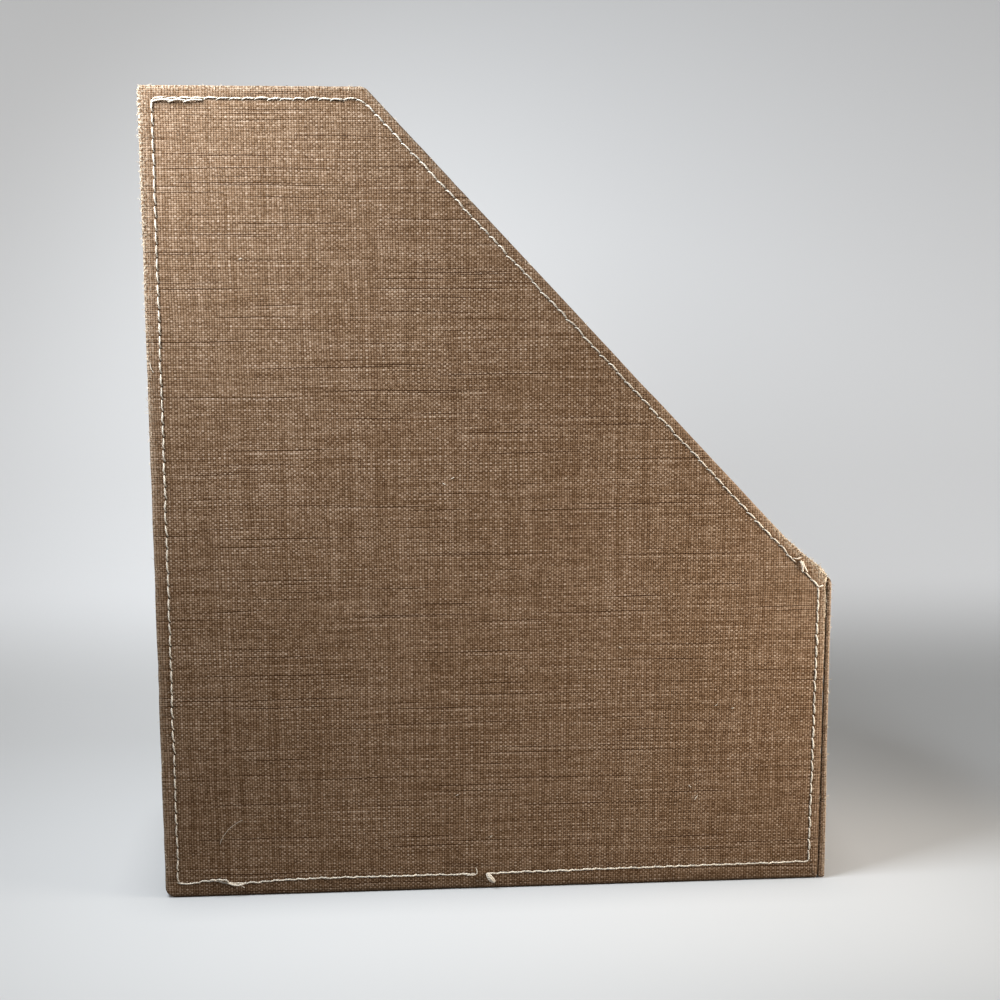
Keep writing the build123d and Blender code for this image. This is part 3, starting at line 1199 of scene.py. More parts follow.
    def _edge_rings(self, columns: Columns) -> list[Ring]:
        """Rings over the outer edge, down the panel's side, round the inner edge and along the turn-in."""
        shape = self.shape
        outer, inner = self.edge_round, shape.inner_round
        seam, _ = shape.seam_ring(columns, 0.0)
        base, normal = shape.edge_ring(columns, outer)
        fall = self._fall(((base - seam) * normal).sum(axis=1))
        stray = self._stray(base, normal)
        plan = []
        for step in (1, 2, 3, 4):
            angle = step * pi / 8
            plan.append((outer * (1 - sin(angle)), outer * (1 - cos(angle)), outer * angle, 0.6))
        side = PANEL_THICKNESS - inner - outer
        plan.append((0.0, outer + side * 0.5, outer * pi / 2 + side * 0.5, 0.45))
        for step in (0, 1, 2, 3):
            angle = step * pi / 6
            inset, depth = inner * (1 - cos(angle)), PANEL_THICKNESS - inner * (1 - sin(angle))
            plan.append((inset, depth, outer * pi / 2 + side + inner * angle, shape.inner_rub))
        turned = outer * pi / 2 + side + inner * pi / 2
        for inset in (1.5 * MM, 3.0 * MM, 6.0 * MM, TURN_IN_WIDTH):
            plan.append((inset, PANEL_THICKNESS, turned + inset - inner, 0.25 if inset < 2 * MM else 0.0))
        rings = []
        for inset, depth, reach, rub in plan:
            flat, _ = shape.edge_ring(columns, inset, depth)
            taper = float(np.clip(1 - inset / (6 * MM), 0, 1))
            lowered = depth + fall * max(0.0, 1 - depth / (1.5 * MM))
            flat = flat + normal * (stray * taper)[:, None]
            cloth = self._cut(base + normal * reach)
            across = np.full(len(flat), 20 * MM)
            worn = self._worn(base, rub * shape.trait("rub", columns))
            rings.append(Ring(shape.place(flat, lowered), cloth, across, worn))
        return rings


@dataclass
class EdgeFuzz:
    """Fibres that stand up from the folded edges of a panel's cover."""

    shape: PanelShape
    density: float = 1.1 / MM**2
    strip_rings: int = 5

    def build(self, tree: bpy.types.NodeTree, finishes: Finishes) -> bpy.types.Object:
        """Grows the fibres.

        Args:
            tree: the fuzz's geometry tree.
            finishes: the holder's finishes.

        Returns:
            The piece, which rides with the cover.
        """
        columns = self.shape.columns()
        rings = CoverCloth(self.shape).fold_rings(columns)[: self.strip_rings]
        count = len(columns.edge)
        faces = [
            (row * count + here, (row + 1) * count + here, (row + 1) * count + there, row * count + there)
            for row in range(len(rings) - 1)
            for here, there in zip(range(count), [*range(1, count), 0])
        ]
        piece = new_piece(f"{self.shape.name}_fuzz", np.concatenate([ring.points for ring in rings]), (), faces)
        worn = piece.data.attributes.new("worn", "FLOAT", "POINT")
        worn.data.foreach_set("value", np.concatenate([ring.rub for ring in rings]))
        run_tree(piece, tree, {"Density": self.density, "Seed": self.shape.seed, "Fibre": finishes.fibre})
        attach(piece, BODY)
        return piece


@dataclass
class LiningCloth:
    """Inner linen of a panel, glued on the board and stepped up over the turn-ins, with raw cut edges."""

    shape: PanelShape
    step_height: float = CLOTH_THICKNESS
    channel_depth: float = 0.12 * MM
    cut_stray: float = 0.35 * MM

    def build(self, finishes: Finishes) -> bpy.types.Object:
        """Builds and dresses the lining.

        Args:
            finishes: the holder's finishes.

        Returns:
            The piece, which stands for the panel's lining node.
        """
        columns = self.shape.columns()
        mesh = ClothMesh(f"{self.shape.name}_lining_linen", columns, 1 - self.shape.trait("loose", columns))
        mesh.rings = self._rings(columns)
        piece = finish_cloth(mesh.build(inside_out=True), CLOTH_THICKNESS)
        piece.data.materials.clear()
        piece.data.materials.append(finishes.lining)
        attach(piece, BODY)
        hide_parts(f"{self.shape.name}_lining")
        return piece

    def _rings(self, columns: Columns) -> list[Ring]:
        """Rings from the middle to the cut edge."""
        shape = self.shape
        low, high = PANEL_THICKNESS, PANEL_THICKNESS + self.step_height
        inner, _ = shape.edge_ring(columns, 22 * MM, low)
        plan = [(shape.centre + (inner - shape.centre) * share, low, 40 * MM) for share in (0.12, 0.4, 0.7, 1.0)]
        for inset, depth in ((17.5, low), (16.2, low + 0.1 * MM), (15.2, low + 0.3 * MM), (14.0, high), (9.0, high)):
            plan.append((shape.edge_ring(columns, inset * MM, low)[0], depth, 20 * MM))
        for outwards in (-1.4, -0.6, 0.0, 0.6):
            plan.append((shape.seam_ring(columns, outwards * MM)[0], high, outwards * MM))
        cut, normal = shape.edge_ring(columns, LINING_INSET, low)
        stray = self.cut_stray * (ripple(cut, 3 * MM, 5.5) + ripple(cut, 21 * MM, 9.2)) * 0.6 - 0.1 * MM
        plan.append((cut + normal * stray[:, None], high, 20 * MM))
        rings = []
        for flat, depth, outwards in plan:
            pull = self.channel_depth * np.exp(-((outwards / (0.8 * MM)) ** 2)) * columns.stitched
            rough = 0.05 * MM * ripple(flat, 24 * MM, 6.4)
            across = np.where(columns.stitched > 0, outwards, 20 * MM)
            rub = np.full(len(flat), 0.9 if flat is plan[-1][0] else 0.0)
            cloth = flat + np.array(shape.cut_from) + 400 * MM
            rings.append(Ring(shape.place(flat, depth - pull + rough), cloth, across, rub))
        return rings


def start_geometry(
    name: str, sockets: tuple[tuple[str, str], ...]
) -> tuple[Wiring, dict[str, bpy.types.NodeSocket]]:
    """Makes an empty geometry tree.

    Args:
        name: the tree's name.
        sockets: name and socket type of each input.

    Returns:
        Its wiring and the sockets that it is given.
    """
    tree = bpy.data.node_groups.new(name, "GeometryNodeTree")
    for label, kind in sockets:
        tree.interface.new_socket(label, in_out="INPUT", socket_type=kind)
    tree.interface.new_socket("Geometry", in_out="OUTPUT", socket_type="NodeSocketGeometry")
    wires = Wiring(tree)
    return wires, {socket.name: socket for socket in wires.add("NodeGroupInput").outputs if socket.name}


def run_tree(piece: bpy.types.Object, tree: bpy.types.NodeTree, values: dict[str, Value]) -> bpy.types.Object:
    """Runs a geometry tree on a piece and keeps the result as its plain mesh.

    Args:
        piece: the object with what the tree starts from.
        tree: the geometry tree.
        values: the tree's inputs by name.

    Returns:
        The same object.
    """
    modifier = piece.modifiers.new(tree.name, "NODES")
    modifier.node_group = tree
    for item in tree.interface.items_tree:
        if item.name in values:
            modifier[item.identifier] = values[item.name]
    piece.update_tag()
    return bake_modifiers(piece)


def stored(w: Wiring, name: str, kind: str = "FLOAT") -> bpy.types.NodeSocket:
    """Attribute that the geometry carries."""
    return w.out("GeometryNodeInputNamedAttribute", name, data_type=kind)


def store_number(w: Wiring, geometry: Value, name: str, value: Value, domain: str = "POINT") -> bpy.types.NodeSocket:
    """Geometry that carries a number as an attribute."""
    return w.out("GeometryNodeStoreNamedAttribute", geometry, None, name, value, data_type="FLOAT", domain=domain)


def random_number(w: Wiring, low: float, high: float, seed: Value, salt: int) -> bpy.types.NodeSocket:
    """Random number a point or an instance, from a tree's seed and the use's own salt."""
    own = w.math("ADD", seed, float(salt * 101))
    return w.out("FunctionNodeRandomValue", low, high, None, own, data_type="FLOAT")


def thread_section(w: Wiring, diameter: Value, flatness: Value, sides: int) -> bpy.types.NodeSocket:
    """Ring across a thread, labelled with turns round it.

    Args:
        w: the tree's wiring.
        diameter: of the thread.
        flatness: its height as a share of its width.
        sides: of the ring.

    Returns:
        The ring's curve.
    """
    section = w.add("GeometryNodeCurvePrimitiveCircle", mode="RADIUS")
    section.inputs["Resolution"].default_value = sides
    w.feed(section.inputs["Radius"], w.math("MULTIPLY", diameter, 0.5))
    profile = w.add("GeometryNodeTransform")
    w.feed(profile.inputs["Geometry"], section.outputs[0])
    w.feed(profile.inputs["Scale"], w.out("ShaderNodeCombineXYZ", 1.0, flatness, 1.0))
    around = w.math("DIVIDE", w.out("GeometryNodeInputIndex"), float(sides))
    return store_number(w, profile.outputs[0], "ply_around", around)


def new_piece(name: str, points: np.ndarray, edges: Sequence = (), faces: Sequence = ()) -> bpy.types.Object:
    """Object with a mesh of points, edges and faces, at the origin of the scene."""
    mesh = bpy.data.meshes.new(name)
    mesh.from_pydata(np.asarray(points, float).tolist(), edges, faces)
    piece = bpy.data.objects.new(name, mesh)
    bpy.context.scene.collection.objects.link(piece)
    return piece


@dataclass(frozen=True)
class StitchLook:
    """Sizes of one kind of stitch."""

    diameter: float = THREAD_DIAMETER
    flatness: float = 0.78
    rise: float = 0.50 * MM
    dive: float = 0.42 * MM
    slant: float = radians(9.0)
    slant_spread: float = radians(4.0)
    bend: float = 0.10 * MM
    bow_share: float = 1.0
    length_share: float = 0.98
    seed: int = 11


@dataclass
class StitchTree:
    """Geometry tree that lays a stitch from each point of a seam, along the point's own run."""

    sides: int = 6
    rings: int = 9
    ply_turns: float = 1.6
    slack: float = 0.14
    slack_lift: float = 0.34 * MM
    bow_skew: float = 0.7

    def build(self) -> bpy.types.NodeTree:
        """Builds the tree.

        Returns:
            The tree, whose inputs are the points, the stitch's sizes, the seam's outward direction and the
            thread. The points carry the attributes run, bow, loose and slant.
        """
        sockets = (
            ("Points", "NodeSocketGeometry"),
            ("Pitch", "NodeSocketFloat"),
            ("Diameter", "NodeSocketFloat"),
            ("Flatness", "NodeSocketFloat"),
            ("Rise", "NodeSocketFloat"),
            ("Dive", "NodeSocketFloat"),
            ("Slant", "NodeSocketFloat"),
            ("Slant Spread", "NodeSocketFloat"),
            ("Bend", "NodeSocketFloat"),
            ("Length Share", "NodeSocketFloat"),
            ("Outward", "NodeSocketVector"),
            ("Seed", "NodeSocketInt"),
            ("Thread", "NodeSocketMaterial"),
        )
        w, given = start_geometry("topstitching", sockets)

        variants = [self._stitch(w, given, bend, lift) for bend, lift in ((0.4, 1.0), (1.0, 0.85), (1.7, 1.1))]
        choice = w.add("GeometryNodeGeometryToInstance")
        for variant in reversed(variants):
            w.tree.links.new(variant, choice.inputs[0])

        run, bow, loose = stored(w, "run", "FLOAT_VECTOR"), stored(w, "bow", "FLOAT_VECTOR"), stored(w, "loose")
        facing = w.out("FunctionNodeAlignRotationToVector", None, 1.0, run, axis="X")
        facing = w.out("FunctionNodeAlignRotationToVector", facing, 1.0, given["Outward"], axis="Z", pivot_axis="X")
        long_way = w.math("DIVIDE", w.out("ShaderNodeVectorMath", run, operation="LENGTH"), given["Pitch"])
        long_way = w.math("MULTIPLY", long_way, random_number(w, 0.95, 1.04, given["Seed"], 1))
        long_way = w.math("MULTIPLY", long_way, given["Length Share"])
        long_way = w.math("MULTIPLY", long_way, w.math("MULTIPLY_ADD", loose, self.slack, 1.0))
        thick = random_number(w, 0.88, 1.12, given["Seed"], 2)
        size = w.out("ShaderNodeCombineXYZ", long_way, thick, thick)
        placed = w.add("GeometryNodeInstanceOnPoints")
        pick = random_number(w, 0.0, 2.999, given["Seed"], 3)
        for name, value in (
            ("Points", given["Points"]),
            ("Instance", choice.outputs[0]),
            ("Pick Instance", True),
            ("Instance Index", w.math("FLOOR", pick)),
            ("Rotation", facing),
            ("Scale", size),
        ):
            w.feed(placed.inputs[name], value)

        spread = w.math("MULTIPLY", given["Slant Spread"], random_number(w, -1.0, 1.0, given["Seed"], 4))
        angle = w.math("MULTIPLY", w.math("ADD", given["Slant"], spread), stored(w, "slant"))
        turn = w.out("FunctionNodeAxisAngleToRotation", (0.0, 0.0, 1.0), angle)
        pivot = w.out("ShaderNodeCombineXYZ", w.math("MULTIPLY", given["Pitch"], 0.5), 0.0, 0.0)
        slanted = w.out("GeometryNodeRotateInstances", placed.outputs[0], None, turn, pivot, True)
        shaded = store_number(w, slanted, "shade", random_number(w, 0.0, 1.0, given["Seed"], 5), "INSTANCE")
        real = w.out("GeometryNodeRealizeInstances", shaded)

        # Each stitch curves outwards, most near its start, and the ends of a slack one stay up
        share = w.math("DIVIDE", stored(w, "ply_along"), STITCH_PITCH / MM)
        share = w.math("MINIMUM", w.math("MAXIMUM", share, 0.0), 1.0)
        swing = w.math("SINE", w.math("MULTIPLY", w.math("POWER", share, self.bow_skew), pi))
        ends = w.math("SUBTRACT", 1.0, w.math("SINE", w.math("MULTIPLY", share, pi)))
        lift = w.math("MULTIPLY", w.math("MULTIPLY", ends, loose), self.slack_lift)
        offset = w.out("ShaderNodeVectorMath", self._times(w, bow, swing), self._times(w, given["Outward"], lift))
        curved = w.out("GeometryNodeSetPosition", real, None, None, offset)
        smooth = w.out("GeometryNodeSetShadeSmooth", curved)
        dressed = w.out("GeometryNodeSetMaterial", smooth, None, given["Thread"])
        w.add("NodeGroupOutput", dressed)
        return w.tree

    @staticmethod
    def _times(w: Wiring, vector: Value, number: Value) -> bpy.types.NodeSocket:
        """Vector made longer by a number."""
        scaled = w.out("ShaderNodeVectorMath", vector, operation="SCALE")
        w.feed(scaled.node.inputs["Scale"], number)
        return scaled

    def _stitch(self, w: Wiring, given: dict[str, Value], bend: float, lift: float) -> bpy.types.NodeSocket:
        """One stitch: a flattened two-ply thread that rises from a hole, bends and dips into the next.

        Args:
            w: the tree's wiring.
            given: the tree's inputs.
            bend: share of the sideways bend.
            lift: share of the rise.

        Returns:
            The stitch's mesh, from the origin along X for one pitch.
        """
        end = w.out("ShaderNodeCombineXYZ", given["Pitch"], 0.0, 0.0)
        line = w.out("GeometryNodeCurvePrimitiveLine", (0.0, 0.0, 0.0), end)
        line = w.out("GeometryNodeResampleCurve", line, None, self.rings, mode="COUNT")
        share = w.out("GeometryNodeSplineParameter")
        hump = w.math("POWER", w.math("MAXIMUM", w.math("SINE", w.math("MULTIPLY", share, pi)), 0.0), 0.5)
        rise = w.math("MULTIPLY", w.math("ADD", given["Rise"], given["Dive"]), lift)
        height = w.math("SUBTRACT", w.math("MULTIPLY", hump, rise), given["Dive"])
        side = w.math("MULTIPLY", w.math("SINE", w.math("MULTIPLY", share, 2 * pi)), w.math("MULTIPLY", given["Bend"], bend))
        offset = w.out("ShaderNodeCombineXYZ", 0.0, side, height)
        line = w.out("GeometryNodeSetPosition", line, None, None, offset)
        line = w.out("GeometryNodeSetCurveTilt", line, None, w.math("MULTIPLY", share, self.ply_turns * pi))
        line = store_number(w, line, "ply_along", w.math("MULTIPLY", share, STITCH_PITCH / MM))
        ring = thread_section(w, given["Diameter"], given["Flatness"], self.sides)
        return w.out("GeometryNodeCurveToMesh", line, ring, w.blend(0.72, 1.0, hump), True)


@dataclass(frozen=True)
class StrandTree:
    """Geometry tree that turns lines into smooth strands of thread, each as thick as its points say."""

    sides: int = 6
    step: float = 0.35 * MM
    flatness: float = 0.85
    shade: float = 0.6

    def build(self) -> bpy.types.NodeTree:
        """Builds the tree, whose lines carry the attribute width, and returns it."""
        w, given = start_geometry("loose_strands", (("Lines", "NodeSocketGeometry"), ("Thread", "NodeSocketMaterial")))
        curve = w.out("GeometryNodeMeshToCurve", given["Lines"])
        curve = w.out("GeometryNodeCurveSplineType", curve, spline_type="CATMULL_ROM")
        curve = w.out("GeometryNodeResampleCurve", curve, None, self.step, mode="LENGTH")
        length = w.add("GeometryNodeSplineParameter").outputs["Length"]
        curve = store_number(w, curve, "ply_along", w.math("DIVIDE", length, MM))
        ring = thread_section(w, 1.0, self.flatness, self.sides)
        mesh = w.out("GeometryNodeCurveToMesh", curve, ring, stored(w, "width"), True)
        mesh = w.out("GeometryNodeSetShadeSmooth", store_number(w, mesh, "shade", self.shade))
        mesh = w.out("GeometryNodeRealizeInstances", mesh)
        w.add("NodeGroupOutput", w.out("GeometryNodeSetMaterial", mesh, None, given["Thread"]))
        return w.tree


@dataclass(frozen=True)
class FuzzTree:
    """Geometry tree that grows short bent fibres out of a strip of cloth, most where it is worn."""

    sides: int = 3
    rings: int = 5
    thickness: float = 0.19 * MM
    length: float = 1.15 * MM
    bend: float = 0.6
    tilt: float = 1.1
    lowest_facing: float = -0.2

    def build(self) -> bpy.types.NodeTree:
        """Builds the tree, whose strip carries the attribute worn, and returns it."""
        sockets = (
            ("Strip", "NodeSocketGeometry"),
            ("Density", "NodeSocketFloat"),
            ("Seed", "NodeSocketInt"),
            ("Fibre", "NodeSocketMaterial"),
        )
        w, given = start_geometry("edge_fuzz", sockets)
        density = w.math("MULTIPLY", given["Density"], w.math("POWER", w.math("MAXIMUM", stored(w, "worn"), 0.0), 2.0))
        facing = w.add("ShaderNodeSeparateXYZ", w.out("GeometryNodeInputNormal")).outputs[2]
        density = w.math("MULTIPLY", density, w.math("GREATER_THAN", facing, self.lowest_facing))
        spread = w.add("GeometryNodeDistributePointsOnFaces", given["Strip"], None, density, given["Seed"])
        seed = given["Seed"]
        long_way = random_number(w, 0.35, 1.3, seed, 1)
        thick = random_number(w, 0.6, 1.3, seed, 2)
        placed = w.add("GeometryNodeInstanceOnPoints")
        for name, value in (
            ("Points", spread.outputs["Points"]),
            ("Instance", self._fibre(w)),
            ("Rotation", spread.outputs["Rotation"]),
            ("Scale", w.out("ShaderNodeCombineXYZ", thick, thick, long_way)),
        ):
            w.feed(placed.inputs[name], value)
        turn = w.out(
            "ShaderNodeCombineXYZ",
            random_number(w, -self.tilt, self.tilt, seed, 3),
            random_number(w, -self.tilt, self.tilt, seed, 4),
            random_number(w, -pi, pi, seed, 5),
        )
        turned = w.out("GeometryNodeRotateInstances", placed.outputs[0], None, turn, (0.0, 0.0, 0.0), True)
        shaded = store_number(w, turned, "shade", random_number(w, 0.0, 1.0, seed, 6), "INSTANCE")
        real = w.out("GeometryNodeRealizeInstances", shaded)
        w.add("NodeGroupOutput", w.out("GeometryNodeSetMaterial", real, None, given["Fibre"]))
        return w.tree

    def _fibre(self, w: Wiring) -> bpy.types.NodeSocket:
        """One fibre, which stands on the origin along Z and bends over."""
        middle, end = (0.0, 0.0, self.length * 0.55), (self.length * self.bend, 0.0, self.length)
        line = w.out("GeometryNodeCurveQuadraticBezier", self.rings - 1, (0.0, 0.0, -0.1 * MM), middle, end)
        taper = w.blend(1.0, 0.45, w.out("GeometryNodeSplineParameter"))
        return w.out("GeometryNodeCurveToMesh", line, thread_section(w, self.thickness, 1.0, self.sides), taper, True)


def unwrap_thread(mesh: bpy.types.Mesh) -> None:
    """Writes the UV map thread from the numbers along and around, with no jump where a turn closes.

    Args:
        mesh: thread mesh with the attributes ply_along and ply_around, which are removed.
    """
    vertices = np.empty(len(mesh.loops), np.int32)
    mesh.loops.foreach_get("vertex_index", vertices)
    numbers = []
    for name in ("ply_along", "ply_around"):
        values = np.empty(len(mesh.vertices), np.float32)
        mesh.attributes[name].data.foreach_get("value", values)
        numbers.append(values[vertices])
    along, around = numbers
    for polygon in mesh.polygons:
        loops = slice(polygon.loop_start, polygon.loop_start + polygon.loop_total)
        part = around[loops]
        if part.max() - part.min() > 0.5:
            around[loops] = np.where(part < 0.5, part + 1.0, part)
    layer = mesh.uv_layers.new(name="thread")
    layer.data.foreach_set("uv", np.stack([along, around], axis=1).astype(np.float32).ravel())
    for name in ("ply_along", "ply_around"):
        mesh.attributes.remove(mesh.attributes[name])


@dataclass
class Topstitching:
    """Both rows of stitches of a panel: the needle thread outside and the bobbin thread inside."""

    shape: PanelShape
    needle: StitchLook = StitchLook()
    bobbin: StitchLook = StitchLook(slant=radians(4.0), bend=0.08 * MM, bow_share=0.2, rise=0.45 * MM, seed=57)

    def build(self, tree: bpy.types.NodeTree, finishes: Finishes) -> list[bpy.types.Object]:
        """Lays both rows.

        Args:
            tree: the stitches' geometry tree.
            finishes: the holder's finishes.

        Returns:
            The needle thread and the bobbin thread.
        """
        return [
            self._row(Side.NEEDLE, self.needle, tree, finishes.needle_thread),
            self._row(Side.BOBBIN, self.bobbin, tree, finishes.bobbin_thread),
        ]

    def _row(
        self, side: Side, look: StitchLook, tree: bpy.types.NodeTree, thread: bpy.types.Material
    ) -> bpy.types.Object:
        """Lays one row of stitches along the seam.

        Args:
            side: needle or bobbin.
            look: the stitch's sizes.
            tree: the stitches' geometry tree.
            thread: the thread's material.

        Returns:
            The piece, which stands for the panel's thread node on that side.
        """
        outward = self.shape.outward * (1 if side is Side.NEEDLE else -1)
        depth = 0.18 * MM if side is Side.NEEDLE else PANEL_THICKNESS + CLOTH_THICKNESS - 0.1 * MM
        piece = self._starts(f"{self.shape.name}_{side.value}_stitches", depth, side, look)
        values = {
            "Pitch": STITCH_PITCH,
            "Diameter": look.diameter,
            "Flatness": look.flatness,
            "Rise": look.rise - look.diameter / 2 + 0.18 * MM,
            "Dive": look.dive,
            "Slant": look.slant,
            "Slant Spread": look.slant_spread,
            "Bend": look.bend,
            "Length Share": look.length_share,
            "Outward": tuple(outward),
            "Seed": look.seed + self.shape.seed,
            "Thread": thread,
        }
        run_tree(piece, tree, values)
        if side is Side.NEEDLE and self.shape.strands:
            self._join(piece, self._loose_threads(thread))
        unwrap_thread(piece.data)
        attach(piece, BODY)
        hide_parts(f"{self.shape.name}_{side.value}_thread")
        return piece

    def _starts(self, name: str, depth: float, side: Side, look: StitchLook) -> bpy.types.Object:
        """Points where the stitches start, which run clockwise as seen from their own side.

        Args:
            name: the piece's name.
            depth: how far inside the outer face they lie.
            side: needle or bobbin.
            look: the stitch's sizes.

        Returns:
            An object with a point a stitch and the attributes run, bow, loose and slant.
        """
        shape = self.shape
        columns = shape.columns(per_stitch=1, arc_steps=1)
        flat, normal = shape.seam_ring(columns, 0.0)
        points = shape.place(flat, depth)
        beside = shape.place(flat + normal * MM, depth) - points
        bows = shape.trait("bow", columns) * np.random.default_rng(shape.seed).uniform(0.6, 1.25, len(points))
        loose, slant = shape.trait("loose", columns), shape.trait("slant", columns)
        count = len(shape.seam_rounds)
        starts, runs, bow, slack, slants = [], [], [], [], []
        for here in range(len(points) - 1):
            round_corner = shape.seam_rounds[(columns.edge[here] + 1) % count] > 0
            joined = columns.edge[here] == columns.edge[here + 1] or round_corner
            middle = flat[here : here + 2].mean(axis=0)[None, :]
            hidden = side is Side.NEEDLE and any(spot.near(middle)[0] > 0 for spot in shape.sunk)
            if not joined or not columns.stitched[here] or hidden:
                continue
            first, last = (here + 1, here) if side is Side.NEEDLE else (here, here + 1)
            starts.append(points[first])
            runs.append(points[last] - points[first])
            bow.append((beside[here] + beside[here + 1]) / (2 * MM) * bows[here] * look.bow_share)
            slack.append(loose[here])
            slants.append(slant[here])
        piece = new_piece(name, np.array(starts))
        for label, values in (("run", runs), ("bow", bow)):
            piece.data.attributes.new(label, "FLOAT_VECTOR", "POINT").data.foreach_set("vector", np.ravel(values))
        for label, values in (("loose", slack), ("slant", slants)):
            piece.data.attributes.new(label, "FLOAT", "POINT").data.foreach_set("value", np.ravel(values))
        return piece

    def _loose_threads(self, thread: bpy.types.Material) -> bpy.types.Object:
        """Ends, tufts and flecks of thread that lie on the panel."""
        points, edges, widths = [], [], []
        for strand in self.shape.strands:
            spots = np.array(strand.points) * MM
            edges += [(len(points) + i, len(points) + i + 1) for i in range(len(spots) - 1)]
            points += self.shape.place(spots[:, :2], -spots[:, 2]).tolist()
            widths += [strand.diameter] * len(spots)
        piece = new_piece(f"{self.shape.name}_loose_threads", points, edges)
        piece.data.attributes.new("width", "FLOAT", "POINT").data.foreach_set("value", widths)
        return run_tree(piece, StrandTree().build(), {"Thread": thread})

    @staticmethod
    def _join(piece: bpy.types.Object, other: bpy.types.Object) -> None:
        """Joins another object's mesh into the piece."""
        both = [piece, other]
        with bpy.context.temp_override(active_object=piece, object=piece, selected_editable_objects=both):
            bpy.ops.object.join()


@dataclass
class Board:
    """Greyboard core of a panel, with its outer face pressed in where the panel leans."""

    shape: PanelShape

    def build(self, finishes: Finishes) -> list[bpy.types.Object]:
        """Dresses the board's node, or builds the pressed board that stands for it.

        Args:
            finishes: the holder's finishes.

        Returns:
            The pressed board, or nothing where the node stays.
        """
        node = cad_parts[f"{self.shape.name}_board"]
        if not self.shape.lean:
            node.data.materials.clear()
            node.data.materials.append(finishes.board)
            return []
        name = f"{self.shape.name}_pressed_board"
        mesh = self._bendable(node)
        mesh.name = name
        spots = np.empty(len(mesh.vertices) * 3, np.float32)
        mesh.vertices.foreach_get("co", spots)
        away = spots.reshape(-1, 3).astype(float) - np.array(self.shape.origin)
        flat = np.stack([away @ np.array(self.shape.across), away @ np.array(self.shape.up)], axis=1)
        pressed = self.shape.place(flat, -(away @ np.array(self.shape.outward)))
        mesh.vertices.foreach_set("co", pressed.astype(np.float32).ravel())
        mesh.materials.clear()
        mesh.materials.append(finishes.board)
        piece = bpy.data.objects.new(name, mesh)
        bpy.context.scene.collection.objects.link(piece)
        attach(piece, BODY)
        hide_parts(node.name)
        return [piece]

    def _bendable(self, node: bpy.types.Object) -> bpy.types.Mesh:
        """Copy of the node's mesh, merged and cut across at the heights where the lean bends it.

        Args:
            node: the board's node.

        Returns:
            The mesh.
        """
        shape = self.shape
        height = max(up for _, up in shape.corners)
        sheet = bmesh.new()
        sheet.from_mesh(node.data)
        bmesh.ops.remove_doubles(sheet, verts=sheet.verts, dist=WELD_DISTANCE)
        for share in LEAN_HEIGHTS[1:-1]:
            parts = sheet.verts[:] + sheet.edges[:] + sheet.faces[:]
            place = shape.origin + shape.up * (height * share)
            bmesh.ops.bisect_plane(sheet, geom=parts, plane_co=place, plane_no=shape.up)
        mesh = node.data.copy()
        sheet.to_mesh(mesh)
        sheet.free()
        return mesh


@dataclass
class Trees:
    """Geometry trees that several panels share, built once."""

    stitches: bpy.types.NodeTree = field(default_factory=lambda: StitchTree().build())
    fuzz: bpy.types.NodeTree = field(default_factory=lambda: FuzzTree().build())


@dataclass
class CoveredPanel:
    """One covered panel: board, cover, lining and its topstitching."""

    shape: PanelShape

    def build(self, trees: Trees, finishes: Finishes) -> list[bpy.types.Object]:
        """Builds and dresses every layer.

        Args:
            trees: the holder's geometry trees.
            finishes: the holder's finishes.

        Returns:
            The new pieces.
        """
        pieces = Board(self.shape).build(finishes)
        pieces += [CoverCloth(self.shape).build(finishes), LiningCloth(self.shape).build(finishes)]
        if self.shape.stitched:
            pieces += Topstitching(self.shape).build(trees.stitches, finishes)
            pieces.append(EdgeFuzz(self.shape).build(trees.fuzz, finishes))
        return pieces


